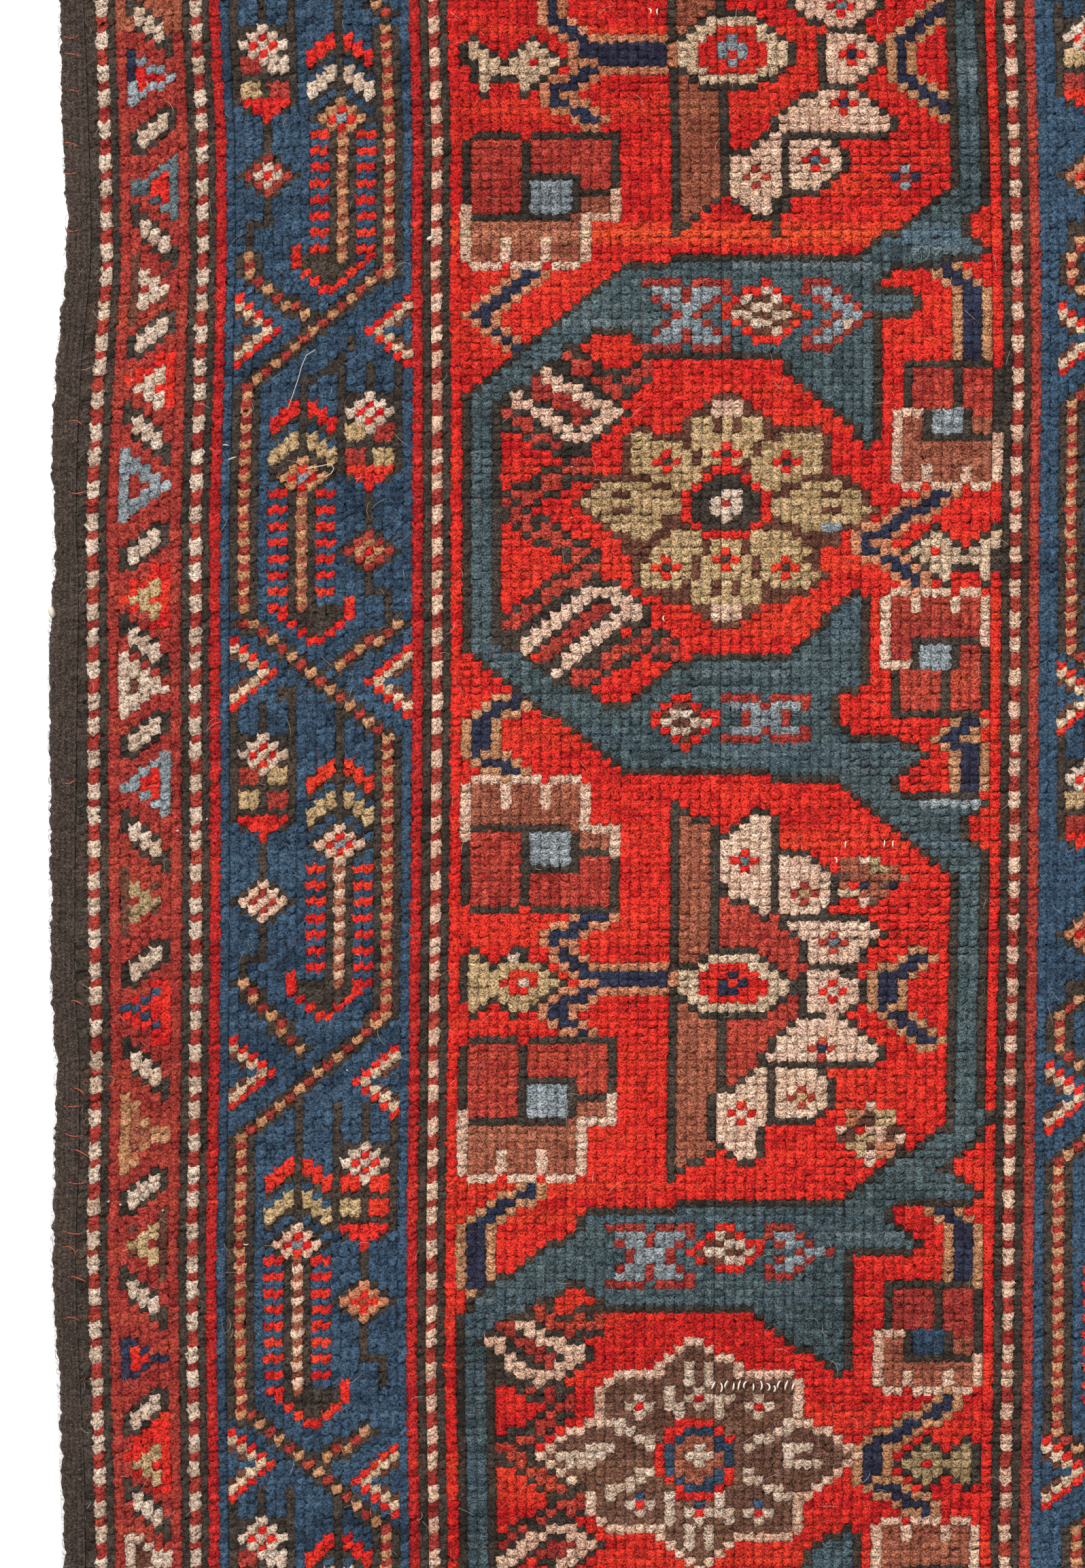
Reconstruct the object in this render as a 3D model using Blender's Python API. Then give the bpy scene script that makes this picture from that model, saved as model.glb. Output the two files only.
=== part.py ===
# A cut length of a hand-knotted rug: its left edge and the borders beside it, lying flat.
# Metres, +Z up. The origin is the middle of the footprint, on the surface that it lies on.
# +Y runs along the warps to the top end, and -X is the finished side with the wound selvedge.

import math

import bmesh
import bpy

# Driving dimensions
CLOTH_LENGTH = 0.597          # along the warps, cut end to cut end
CLOTH_WIDTH = 0.3915          # from the selvedge's furthest reach to the cut side
SEAM_GAP = 0.0003             # between the pile cloth and the selvedge
THICK_PILE = 0.0072           # outer and blue borders, pile and foundation together
WORN_PILE = 0.0052            # main border, worn low
CUT_SIDE = 0.0034             # height at a cut edge, where the tufts lean out
SEAM_SIDE = 0.0050            # height at the seam with the selvedge
RIM_WIDTH = 0.0030            # how far in from an edge the pile falls
SWELL_HEIGHT = 0.00035        # slow unevenness of the pile's top

# The main border's worn pile, across the cloth from its furthest left reach
WORN_FROM = 0.1490
WORN_TO = 0.3560
WEAR_SLOPE = 0.0080           # over this width the pile falls from thick to worn

# The selvedge's three flat wound cords
CORD_COUNT = 3
CORD_CREST = 0.0040           # top of a cord
CORD_GROOVE = 0.0032          # between two cords
OUTER_SIDE = 0.0016           # height where the rounded outer side begins
INNER_SIDE = 0.0026           # height at the seam
SIDE_ROUND = 0.18             # share of the selvedge's width that rounds down at each side

# Steps of the meshes
CLOTH_COLUMNS = 36
CLOTH_ROWS = 60
SELVEDGE_COLUMNS = 15
SELVEDGE_ROWS = 90

# The wavy left side, from the top end down, in metres.
# station: distance from the top end
# outer: the selvedge's outer side, in from the furthest left reach
# seam: where the pile begins, in from the furthest left reach
SIDE_ROWS = (
    {"station": 0.000, "outer": 0.0040, "seam": 0.0128},
    {"station": 0.040, "outer": 0.0043, "seam": 0.0146},
    {"station": 0.070, "outer": 0.0058, "seam": 0.0155},
    {"station": 0.088, "outer": 0.0067, "seam": 0.0160},
    {"station": 0.106, "outer": 0.0060, "seam": 0.0159},
    {"station": 0.124, "outer": 0.0049, "seam": 0.0144},
    {"station": 0.145, "outer": 0.0027, "seam": 0.0125},
    {"station": 0.175, "outer": 0.0012, "seam": 0.0110},
    {"station": 0.205, "outer": 0.0020, "seam": 0.0106},
    {"station": 0.224, "outer": 0.0016, "seam": 0.0115},
    {"station": 0.250, "outer": 0.0000, "seam": 0.0112},
    {"station": 0.310, "outer": 0.0005, "seam": 0.0104},
    {"station": 0.370, "outer": 0.0008, "seam": 0.0101},
    {"station": 0.400, "outer": 0.0024, "seam": 0.0116},
    {"station": 0.430, "outer": 0.0024, "seam": 0.0117},
    {"station": 0.475, "outer": 0.0012, "seam": 0.0104},
    {"station": 0.520, "outer": 0.0037, "seam": 0.0120},
    {"station": 0.550, "outer": 0.0047, "seam": 0.0135},
    {"station": 0.597, "outer": 0.0062, "seam": 0.0141},
)

LEFT_REACH = -CLOTH_WIDTH / 2
RIGHT_CUT = CLOTH_WIDTH / 2
TOP_END = CLOTH_LENGTH / 2


def ease(share):
    """Go from 0 to 1 smoothly while the share goes from 0 to 1."""
    share = min(max(share, 0.0), 1.0)
    return share * share * (3.0 - 2.0 * share)


def rounded(distance, width):
    """Go from 0 to 1 on a quarter circle over a width."""
    left = 1.0 - min(max(distance / width, 0.0), 1.0)
    return math.sqrt(1.0 - left * left)


def side_inset(station, column):
    """Read a column of SIDE_ROWS at a station, on a smooth curve through its rows."""
    last = len(SIDE_ROWS) - 1
    index = 0
    while index < last - 1 and SIDE_ROWS[index + 1]["station"] < station:
        index += 1
    here = SIDE_ROWS[index]
    after = SIDE_ROWS[index + 1]
    before = SIDE_ROWS[max(index - 1, 0)]
    beyond = SIDE_ROWS[min(index + 2, last)]
    span = after["station"] - here["station"]
    slope_in = (after[column] - before[column]) / (after["station"] - before["station"])
    slope_out = (beyond[column] - here[column]) / (beyond["station"] - here["station"])
    t = (station - here["station"]) / span
    start_weight = 2 * t**3 - 3 * t**2 + 1
    in_weight = (t**3 - 2 * t**2 + t) * span
    out_weight = (t**3 - t**2) * span
    inset = start_weight * here[column] + (1 - start_weight) * after[column]
    return inset + in_weight * slope_in + out_weight * slope_out


def outer_x(station):
    return LEFT_REACH + max(side_inset(station, "outer"), 0.0)


def seam_x(station):
    return LEFT_REACH + side_inset(station, "seam")


def spread(share, steps, rim):
    """Place an even share so that the first two and last two steps make up a rim."""
    step = share * steps
    if step <= 2:
        return rim * step / 2
    if step >= steps - 2:
        return 1 - rim * (steps - step) / 2
    return rim + (1 - 2 * rim) * (step - 2) / (steps - 4)


def pile_top(x, station):
    """The height of the pile: thick at the side borders, worn low in the main one."""
    across = x - LEFT_REACH
    worn = ease((across - WORN_FROM) / WEAR_SLOPE)
    worn *= 1.0 - ease((across - WORN_TO) / WEAR_SLOPE)
    swell = math.sin(across * 61.0 + station * 13.0)
    swell *= math.sin(station * 37.0 - across * 17.0 + 0.8)
    height = THICK_PILE + (WORN_PILE - THICK_PILE) * worn + SWELL_HEIGHT * swell
    end_distance = min(station, CLOTH_LENGTH - station)
    cut_distance = min(end_distance, RIGHT_CUT - x)
    height = CUT_SIDE + (height - CUT_SIDE) * rounded(cut_distance, RIM_WIDTH)
    seam_rise = rounded(x - seam_x(station), RIM_WIDTH)
    return min(height, SEAM_SIDE + (height - SEAM_SIDE) * seam_rise)


def cord_top(share):
    """The height of the selvedge across its width, over the crests and grooves of its cords."""
    ridge = abs(math.sin(math.pi * CORD_COUNT * share))
    height = CORD_GROOVE + (CORD_CREST - CORD_GROOVE) * ridge
    outer_rise = rounded(share, SIDE_ROUND)
    inner_rise = rounded(1.0 - share, SIDE_ROUND)
    height = OUTER_SIDE + (height - OUTER_SIDE) * outer_rise
    return min(height, INNER_SIDE + (height - INNER_SIDE) * inner_rise)


def wool(name, colour):
    """Dyed wool: matt, with no shine."""
    material = bpy.data.materials.new(name)
    material.use_nodes = True
    shader = material.node_tree.nodes["Principled BSDF"]
    shader.inputs["Base Color"].default_value = (*colour, 1.0)
    shader.inputs["Roughness"].default_value = 0.95
    shader.inputs["Metallic"].default_value = 0.0
    material.diffuse_color = (*colour, 1.0)
    return material


def top_grid(name, columns, rows):
    """A flat grid of a named object, to be moved into an upper surface."""
    bpy.ops.mesh.primitive_grid_add(x_subdivisions=columns, y_subdivisions=rows, size=1.0)
    piece = bpy.context.object
    piece.name = name
    piece.data.name = name
    return piece


def close_down(mesh):
    """Give an upper surface its sides and one flat underside, on the floor."""
    form = bmesh.new()
    form.from_mesh(mesh)
    made = bmesh.ops.extrude_face_region(form, geom=form.faces[:])
    for item in made["geom"]:
        if isinstance(item, bmesh.types.BMVert):
            item.co.z = 0.0
    under = [face for face in form.faces if all(vert.co.z == 0.0 for vert in face.verts)]
    bmesh.ops.dissolve_faces(form, faces=under)
    bmesh.ops.recalc_face_normals(form, faces=form.faces[:])
    form.to_mesh(mesh)
    form.free()
    mesh.set_sharp_from_angle(angle=math.radians(50))


def make_pile_cloth():
    """The knotted cloth: pile and foundation in one, wavy on the left and cut on three sides."""
    piece = top_grid("pile_cloth", CLOTH_COLUMNS, CLOTH_ROWS)
    for vert in piece.data.vertices:
        end_rim = RIM_WIDTH / CLOTH_LENGTH
        station = CLOTH_LENGTH * spread(0.5 - vert.co.y, CLOTH_ROWS, end_rim)
        left = seam_x(station)
        width = RIGHT_CUT - left
        x = left + width * spread(vert.co.x + 0.5, CLOTH_COLUMNS, RIM_WIDTH / width)
        vert.co = (x, TOP_END - station, pile_top(x, station))
    close_down(piece.data)
    piece.data.materials.append(wool("madder red wool pile", (0.42, 0.035, 0.022)))
    return piece


def make_selvedge():
    """The dark yarn wound over three flat cords of outer warps, as wavy as the cloth's side."""
    piece = top_grid("selvedge", SELVEDGE_COLUMNS, SELVEDGE_ROWS)
    for vert in piece.data.vertices:
        share = vert.co.x + 0.5
        station = CLOTH_LENGTH * (0.5 - vert.co.y)
        left = outer_x(station)
        width = seam_x(station) - SEAM_GAP - left
        vert.co = (left + width * share, TOP_END - station, cord_top(share))
    close_down(piece.data)
    piece.data.materials.append(wool("charcoal brown goat hair", (0.035, 0.027, 0.024)))
    return piece


def main():
    for old in list(bpy.data.objects):
        bpy.data.objects.remove(old)
    rug = bpy.data.collections.new("persian_rug")
    bpy.context.scene.collection.children.link(rug)
    for piece in (make_pile_cloth(), make_selvedge()):
        for home in list(piece.users_collection):
            home.objects.unlink(piece)
        rug.objects.link(piece)


main()
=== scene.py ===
# Persian rug: a cut length of its left side, lying flat, with every knot of the pile made.
# Blender 4.5. Metres, +Z up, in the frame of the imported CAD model.
import math

import bpy
import numpy as np
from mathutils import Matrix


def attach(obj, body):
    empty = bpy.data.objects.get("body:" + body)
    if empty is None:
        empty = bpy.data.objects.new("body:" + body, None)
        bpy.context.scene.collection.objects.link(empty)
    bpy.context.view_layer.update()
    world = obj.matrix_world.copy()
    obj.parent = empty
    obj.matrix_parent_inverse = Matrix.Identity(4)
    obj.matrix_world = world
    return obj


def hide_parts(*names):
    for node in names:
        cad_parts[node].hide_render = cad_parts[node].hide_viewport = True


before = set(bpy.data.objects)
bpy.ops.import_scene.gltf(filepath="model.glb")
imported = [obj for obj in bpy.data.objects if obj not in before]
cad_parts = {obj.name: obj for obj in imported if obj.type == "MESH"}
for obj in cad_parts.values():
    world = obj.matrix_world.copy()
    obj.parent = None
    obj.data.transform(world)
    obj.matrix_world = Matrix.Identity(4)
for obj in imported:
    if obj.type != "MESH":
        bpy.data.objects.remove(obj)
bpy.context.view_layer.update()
print("frame loaded")

# The cloth's own sizes, as in the CAD model
cloth = {
    "length": 0.597, "width": 0.3915,
    "thickPile": 0.0072, "wornPile": 0.0052,      # side borders, and the worn main border
    "cutSide": 0.0034, "seamSide": 0.0050, "rim": 0.0030,
    "swell": 0.00035,                              # how far the pile's top waves up and down
    "wornFrom": 0.1490, "wornTo": 0.3560, "wearSlope": 0.0080,
    "seamGap": 0.0003,                             # between the pile and the selvedge
    "ground": 0.0012,                              # thickness of warps, wefts and knot backs
}

# The wavy left side, in millimetres: how far down from the top end, the selvedge's outer side,
# and where the pile begins, both in from the cloth's furthest left reach
leftSide = {
    "down": (0, 40, 70, 88, 106, 124, 145, 175, 205, 224, 250, 310, 370, 400, 430, 475, 520, 550, 597),
    "outer": (4.0, 4.3, 5.8, 6.7, 6.0, 4.9, 2.7, 1.2, 2.0, 1.6, 0.0, 0.5, 0.8, 2.4, 2.4, 1.2, 3.7, 4.7,
              6.2),
    "seam": (12.8, 14.6, 15.5, 16.0, 15.9, 14.4, 12.5, 11.0, 10.6, 11.5, 11.2, 10.4, 10.1, 11.6, 11.7,
             10.4, 12.0, 13.5, 14.1),
}
leftReach, rightCut, topEnd = -cloth["width"] / 2, cloth["width"] / 2, cloth["length"] / 2


def sideAt(station, side):
    # a smooth curve through the places in leftSide
    down, inset = np.array(leftSide["down"]) / 1000, np.array(leftSide[side]) / 1000
    slope = np.gradient(inset, down)
    slope[1:-1] = (inset[2:] - inset[:-2]) / (down[2:] - down[:-2])
    index = np.clip(np.searchsorted(down, station) - 1, 0, len(down) - 2)
    start, span = down[index], np.diff(down)[index]
    t = (station - start) / span
    early = 2 * t**3 - 3 * t**2 + 1
    curve = early * inset[index] + (1 - early) * inset[index + 1]
    curve += (t**3 - 2 * t**2 + t) * span * slope[index] + (t**3 - t**2) * span * slope[index + 1]
    return leftReach + (np.maximum(curve, 0) if side == "outer" else curve)


def ease(share):
    # from 0 to 1 without a corner at either end
    share = np.clip(share, 0, 1)
    return share * share * (3 - 2 * share)


def rounded(distance, width):
    # the rise of a quarter-round edge
    return np.sqrt(1 - (1 - np.clip(distance / width, 0, 1)) ** 2)


def wornAt(x):
    # 0 on the side borders, 1 on the main border, where the pile is worn
    across = x - leftReach
    worn = ease((across - cloth["wornFrom"]) / cloth["wearSlope"])
    return worn * (1 - ease((across - cloth["wornTo"]) / cloth["wearSlope"]))


def pileTop(x, station):
    # the pile's top: thick at the side borders, worn low in the main one, falling at every edge
    across = x - leftReach
    swell = np.sin(across * 61 + station * 13) * np.sin(station * 37 - across * 17 + 0.8)   # low waves
    height = cloth["thickPile"] + (cloth["wornPile"] - cloth["thickPile"]) * wornAt(x)
    height = height + cloth["swell"] * swell
    edge = np.minimum(np.minimum(station, cloth["length"] - station), rightCut - x)
    height = cloth["cutSide"] + (height - cloth["cutSide"]) * rounded(edge, cloth["rim"])
    seamRise = rounded(x - sideAt(station, "seam"), cloth["rim"])
    return np.minimum(height, cloth["seamSide"] + (height - cloth["seamSide"]) * seamRise)


# The weave: knots in columns along the warps and rows along the wefts
weave = {
    "knotWidth": 0.003625, "knotHeight": 0.0030,      # 28 knots in 100 mm across, 33 along
    "columnZero": -0.21325, "rowZero": 0.288375,      # x where column 0 would begin, y where row 0 begins
    "firstColumn": 8, "lastColumn": 112,
    "firstRow": -3, "lastRow": 195,
    "evenRows": 192,                                  # rows 0 to this one keep their height
}

# How far the warps lean from straight, in millimetres, at the middles of four narrow stripes
leanRows = (2.5, 17.5, 32.5, 47.5, 62.5, 85.0, 107.5, 130.0, 152.5, 167.5, 190.0)
stripeLean = {
    9.5: (3.1, 4.3, 5.1, 1.8, -0.7, 0.1, 0.1, 1.1, -0.2, 1.1, 3.1),
    19.5: (1.3, 3.8, 4.1, 2.8, 1.3, 1.3, 1.6, 1.3, 0.1, 0.3, 1.3),
    44.5: (-2.1, -0.8, -1.3, -0.8, -0.8, -0.8, -1.3, -2.1, -2.8, -3.1, -1.8),
    102.5: (-0.1, 1.7, 2.7, 3.2, 2.2, 1.9, 1.7, 0.4, -0.6, -0.8, -2.1),
}
cutLean = {"column": 113.0, "lean": -0.65}            # the cut runs straight, past the last column


def leanAt(column, row):
    # sideways lean in metres at any column and row
    column, row = np.asarray(column, float), np.asarray(row, float)
    places = [*stripeLean, cutLean["column"]]
    values = [np.interp(row, leanRows, lean) for lean in stripeLean.values()]
    values.append(np.full(row.shape, cutLean["lean"]))
    lean = values[0] + np.zeros(np.broadcast(column, row).shape)
    for left, right, before, after in zip(places, places[1:], values, values[1:]):
        lean = lean + (after - before) * np.clip((column - left) / (right - left), 0, 1)
    return lean / 1000


def straight(column, row):
    # the column that a leaning place belongs to
    return float(column - leanAt(column, row) / weave["knotWidth"])


# The dyes, and the chart that says which one each knot has.
# dark and light: two skeins of the dye. odd: a third batch, which runs through the rug in bands.
# bulk: bright wool stands fuller, and wool dyed with iron wears low.
wools = {
    "madder": {"dark": "#a60a18", "light": "#f6372b", "odd": "#f0582f", "bulk": 0.5},
    "brick": {"dark": "#802222", "light": "#b24238", "odd": "#bc563a", "bulk": 0.5},
    "cherry": {"dark": "#8c1018", "light": "#cc2e2c", "odd": "#d6422c", "bulk": 0.6},
    "crimson": {"dark": "#8c201f", "light": "#c64c3e", "odd": "#d2603e", "bulk": 0.45},
    "rose": {"dark": "#7c3c2e", "light": "#b0684f", "odd": "#bf785a", "bulk": 0.4},
    "bar": {"dark": "#783a2b", "light": "#b0664e", "odd": "#bc7450", "bulk": 0.4},
    "charcoal": {"dark": "#25201c", "light": "#4f453d", "odd": "#60493b", "bulk": 0.0},
    "aubergine": {"dark": "#482820", "light": "#74493a", "odd": "#84543f", "bulk": 0.1},
    "navy": {"dark": "#201d2d", "light": "#3c3b4f", "odd": "#344a66", "bulk": 0.4},
    "indigo": {"dark": "#1d2838", "light": "#455d74", "odd": "#4c6478", "bulk": 0.4},
    "teal": {"dark": "#2c393c", "light": "#5e6d6f", "odd": "#5e7484", "bulk": 0.4},
    "sky": {"dark": "#646a6e", "light": "#a4aaac", "odd": "#90a4b0", "bulk": 0.8},
    "ivory": {"dark": "#ac8e78", "light": "#e4ccb8", "odd": "#d8b494", "bulk": 1.0},
    "pink": {"dark": "#c29078", "light": "#ecc6ae", "odd": "#dcc09c", "bulk": 1.0},
    "cream": {"dark": "#b08e72", "light": "#e6c8aa", "odd": "#d4b28c", "bulk": 0.9},
    "khaki": {"dark": "#96764e", "light": "#d2b086", "odd": "#c0a474", "bulk": 0.8},
    "camel": {"dark": "#9c6844", "light": "#d09872", "odd": "#c48c60", "bulk": 0.8},
    "peach": {"dark": "#a46042", "light": "#d8926e", "odd": "#d08a60", "bulk": 0.8},
    "olive": {"dark": "#8a7050", "light": "#b89c74", "odd": "#a88c60", "bulk": 0.6},
    "orange": {"dark": "#7c3424", "light": "#ae624a", "odd": "#b66b4c", "bulk": 0.5},
    "slate": {"dark": "#3e4a50", "light": "#6e7c80", "odd": "#808c8c", "bulk": 0.6},
    "plum": {"dark": "#563529", "light": "#845e4e", "odd": "#94684e", "bulk": 0.3},
}
dyeNames = list(wools)
dyeNumber = {name: number for number, name in enumerate(dyeNames)}
letters = {"I": "ivory", "r": "madder", "b": "brick", "k": "charcoal", "p": "pink", "h": "khaki",
           "s": "sky", "e": "peach", "a": "aubergine", "o": "olive", "C": "cream"}
knotRows = weave["lastRow"] - weave["firstRow"] + 1
knotColumns = weave["lastColumn"] - weave["firstColumn"] + 1
chart = np.full((knotRows, knotColumns), dyeNumber["madder"])


def knot(column, row, dye):
    # one knot of the chart; places past the cloth's sides are left out
    down, across = int(row) - weave["firstRow"], int(column) - weave["firstColumn"]
    if 0 <= down < knotRows and 0 <= across < knotColumns:
        chart[down, across] = dyeNumber[dye]


def leaningKnot(column, row, dye):
    # one knot, its place given as it leans in the cloth
    knot(math.floor(straight(column, row)), math.floor(row), dye)


def paint(knots, dye):
    for column, row in knots:
        knot(column, row, dye)


def strokeKnots(points, wide=1, tall=1):
    # the knots under a brush, so many knots wide and tall, that follows the points
    touched = set()
    for (c0, r0), (c1, r1) in zip(points, points[1:]):
        count = max(round(6 * max(abs(c1 - c0), abs(r1 - r0))), 1)
        for step in range(count + 1):
            row = r0 + (r1 - r0) * step / count
            left = math.floor(straight(c0 + (c1 - c0) * step / count, row) - wide / 2 + 0.5)
            top = math.floor(row - tall / 2 + 0.5)
            touched.update((left + across, top + down) for across in range(wide) for down in range(tall))
    return touched


def shapeKnots(points):
    # the knots whose middles lie inside a closed outline
    places = [(straight(column, row), row) for column, row in points]
    inside = set()
    rows = [row for column, row in places]
    for row in range(math.floor(min(rows)), math.ceil(max(rows))):
        crossings = []
        for (c0, r0), (c1, r1) in zip(places, places[1:] + places[:1]):
            if (r0 <= row + 0.5) != (r1 <= row + 0.5):
                crossings.append(c0 + (c1 - c0) * (row + 0.5 - r0) / (r1 - r0))
        crossings.sort()
        for left, right in zip(crossings[::2], crossings[1::2]):
            inside.update((column, row) for column in range(round(left), round(right)))
    return inside


def blockKnots(left, top, right, bottom):
    rows, columns = range(round(top), round(bottom)), range(round(left), round(right))
    return {(column, row) for row in rows for column in columns}


def rhombusKnots(column, row, wide, tall):
    column = straight(column, row)
    near = blockKnots(int(column - wide) - 1, int(row - tall) - 1, int(column + wide) + 2,
                      int(row + tall) + 2)
    return {(across, down) for across, down in near
            if abs(across + 0.5 - column) / wide + abs(down + 0.5 - row) / tall < 1}


def around(knots):
    # the ring of knots that touch a shape's sides
    sides = ((1, 0), (-1, 0), (0, 1), (0, -1))
    return {(column + across, row + down) for column, row in knots for across, down in sides} - knots


def edged(knots, dye, edge):
    # a shape in one dye with an outline in another
    paint(around(knots), edge)
    paint(knots, dye)


def stamp(rows, left, top, mirror=False):
    # a small charted motif, with its top left knot at the column and row
    left = round(straight(left, top + len(rows) / 2))
    for down, text in enumerate(rows):
        for across, letter in enumerate(text[::-1] if mirror else text):
            if letter in letters:
                knot(left + across, round(top) + down, letters[letter])


# Narrow stripes: their first and last columns
stripes = {
    (8, 10): "charcoal", (11, 17): "brick", (18, 20): "charcoal", (21, 21): "cherry", (22, 41): "indigo",
    (42, 42): "cherry", (43, 45): "charcoal", (101, 103): "charcoal", (104, 104): "brick",
    (105, 112): "indigo",
}
lastEdge = weave["lastRow"] + 1
for (first, last), dye in stripes.items():
    paint(blockKnots(first, weave["firstRow"], last + 1, lastEdge), dye)


def barberStripe(column, top, light, darks):
    # two light knots, then one or two dark ones by turns
    row, turn = top, 0
    while row < lastEdge:
        dark = darks[turn % len(darks)]
        paint(blockKnots(column, row, column + 1, row + 2), light)
        paint(blockKnots(column, row + 2, column + 1, row + 2 + dark), "brick")
        row, turn = row + 2 + dark, turn + 1


barberStripe(9, -3, "ivory", (1, 2, 2))
barberStripe(19, -4, "ivory", (2, 1, 2))
barberStripe(44, -5, "pink", (1, 2, 2, 2))
barberStripe(102, -4, "pink", (2, 1, 2, 2))


# Outer border: slanted bars and small triangles
def slantedBar(row, falling):
    # three pale knots wide, with a dark line above and below and a dark patch at each end
    way = 1 if falling else -1
    for step in (-1, 0, 1):
        top = round(row) + way * round(step * 1.3)
        paint(blockKnots(14 + step, top - 1, 15 + step, top + 1), "ivory")
        paint({(14 + step, top - 2), (14 + step, top + 1)}, "charcoal")
    paint(blockKnots(12, round(row) - way * 2 - 2, 13, round(row) - way * 2 + 1), "charcoal")
    paint(blockKnots(16, round(row) + way * 2 - 1, 17, round(row) + way * 2 + 2), "charcoal")


def triangle(row, tip, tall, edge, inside, base=None, thick=1):
    # five columns that narrow to a tip, with arms one or two knots thick
    first, way = (12, 1) if tip == "right" else (16, -1)
    for step in range(5):
        half, column = max(tall * (1 - step / 4.2), 0.5), first + way * step
        top, bottom = round(row - half), max(round(row + half), round(row - half) + 1)
        paint(blockKnots(column, top, column + 1, bottom), edge)
        if 0 < step < 4:
            paint(blockKnots(column, top + thick, column + 1, bottom - thick), inside)
    if base:
        paint(blockKnots(first, round(row - tall), first + 1, round(row)), base)


def littleTriangle(row, tip, dye, edge="aubergine"):
    # three columns of four, three and one knots, with a dark line behind where it has one
    first, way = (13, 1) if tip == "right" else (15, -1)
    for step, places in enumerate(((-2, -1, 1, 2), (-1, 0, 1), (0,))):
        paint({(first + way * step, round(row) + place) for place in places}, dye)
    if edge:
        paint(blockKnots(first - way, round(row) - 4, first - way + 1, round(row) + 5), edge)
        paint({(first + way * 2, round(row) - 2), (first + way * 2, round(row) + 1)}, edge)


paint(blockKnots(11, -3, 18, 4), "orange")
for top, bottom in ((43, 50), (69, 77), (120, 128), (173, 183)):
    paint(blockKnots(15, top, 17, bottom) | blockKnots(13, top + 2, 15, bottom - 2), "madder")
    knot(12, (top + bottom) // 2, "madder")
barRows = [2.7, 16, 29, 41.3, 53, 66.7, 79, 90, 103, 117.5, 130.7, 145.8, 159.3, 172.7, 185]
for number, row in enumerate(barRows):
    slantedBar(row, number % 2 == 0)
triangle(9.5, "right", 3.6, "sky", "madder", "navy")
triangle(23, "left", 4.2, "slate", "madder")
littleTriangle(34.7, "right", "ivory")
littleTriangle(47.3, "left", "ivory", None)
triangle(59.5, "right", 4.4, "sky", "brick", thick=2)
littleTriangle(72.7, "left", "khaki", None)
triangle(84.2, "right", 3.8, "ivory", "aubergine", thick=2)
triangle(96.2, "left", 3.8, "sky", "madder")
littleTriangle(109.5, "right", "olive")
triangle(123.5, "left", 3.4, "indigo", "madder")
paint(blockKnots(16, 120, 17, 128), "madder")
triangle(139, "right", 4.6, "camel", "bar")
littleTriangle(152.3, "left", "khaki")
triangle(166.5, "right", 2.8, "navy", "madder")
littleTriangle(178.8, "left", "khaki", None)
triangle(191, "right", 3.4, "ivory", "aubergine")

# Blue border. In its motifs, L stands for the motif's own light dye.
bloomMotif = ["..L..", ".LrL.", "LrLrL", ".LrL.", "..L.."]
budMotifs = {
    "crossed": ["..b..", ".bLb.", "bLrLb", ".bLb.", "..b.."],
    "ringed": ["..L..", ".LrL.", "LrbrL", ".LrL.", "..L.."],
    "full": ["..L..", ".LbL.", "LbLbL", ".LbL.", "..L.."],
}
combMotif = ["..L..", ".LrL.", "LrsrL", ".LrL."]


def centred(rows, column, row, light):
    # a charted motif whose middle knot is given by its own number, with its light dye
    for down, text in enumerate(rows):
        for across, letter in enumerate(text):
            if letter != ".":
                dye = light if letter == "L" else letters[letter]
                knot(column - len(text) // 2 + across, row - len(rows) // 2 + down, dye)


def dottedLine(points):
    # single knots in camel and brick by turns, dark on both sides
    path = []
    for (c0, r0), (c1, r1) in zip(points, points[1:]):
        count = round(max(abs(c1 - c0), abs(r1 - r0)))
        for step in range(count):
            row = r0 + (r1 - r0) * step / count
            path.append((math.floor(straight(c0 + (c1 - c0) * step / count, row)), math.floor(row)))
    path = list(dict.fromkeys(path))
    paint(around(set(path)), "charcoal")
    for turn, (column, row) in enumerate(path):
        knot(column, row, "camel" if turn % 2 == 0 else "brick")


def chevron(tip, row, way):
    # a pointed bracket, red outside and cream inside
    for step in range(5):
        for side in (-1, 1):
            column = tip - way * step
            knot(column, row + side * step, "madder")
            if step > 0:
                knot(column, row + side * (step - 1), "cream")
            if step > 2:
                knot(column, row + side * (step - 2), "aubergine")


def stackOfFlowers(stack, top, bloom, wedge, crossed, lowLeft, highRight):
    # a flower, four checks and a red wedge, between two dark posts
    for post in (-3, 3):
        paint(blockKnots(stack + post, top, stack + post + 1, wedge + 1), "charcoal")
    paint(blockKnots(stack, top, stack + 1, wedge), "charcoal")
    paint(blockKnots(stack - 2, bloom - 2, stack + 3, wedge), "charcoal")
    centred(bloomMotif, stack, bloom, "ivory")
    for across, down, dye in ((-2, 2, crossed), (1, 2, highRight), (-2, 5, lowLeft), (1, 5, crossed)):
        paint(blockKnots(stack + across, bloom + down, stack + across + 2, bloom + down + 2), dye)
    for down in range(3):
        paint(blockKnots(stack - 2 + down, wedge + down, stack + 3 - down, wedge + down + 1), "madder")
    paint({(stack - 2, wedge + 1), (stack + 2, wedge + 1)}, "charcoal")


def darkRing(column, row, rows):
    # the outline of a small diamond
    for down in rows:
        paint({(column + abs(down) - 3, row + down), (column + 3 - abs(down), row + down)}, "charcoal")


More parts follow.
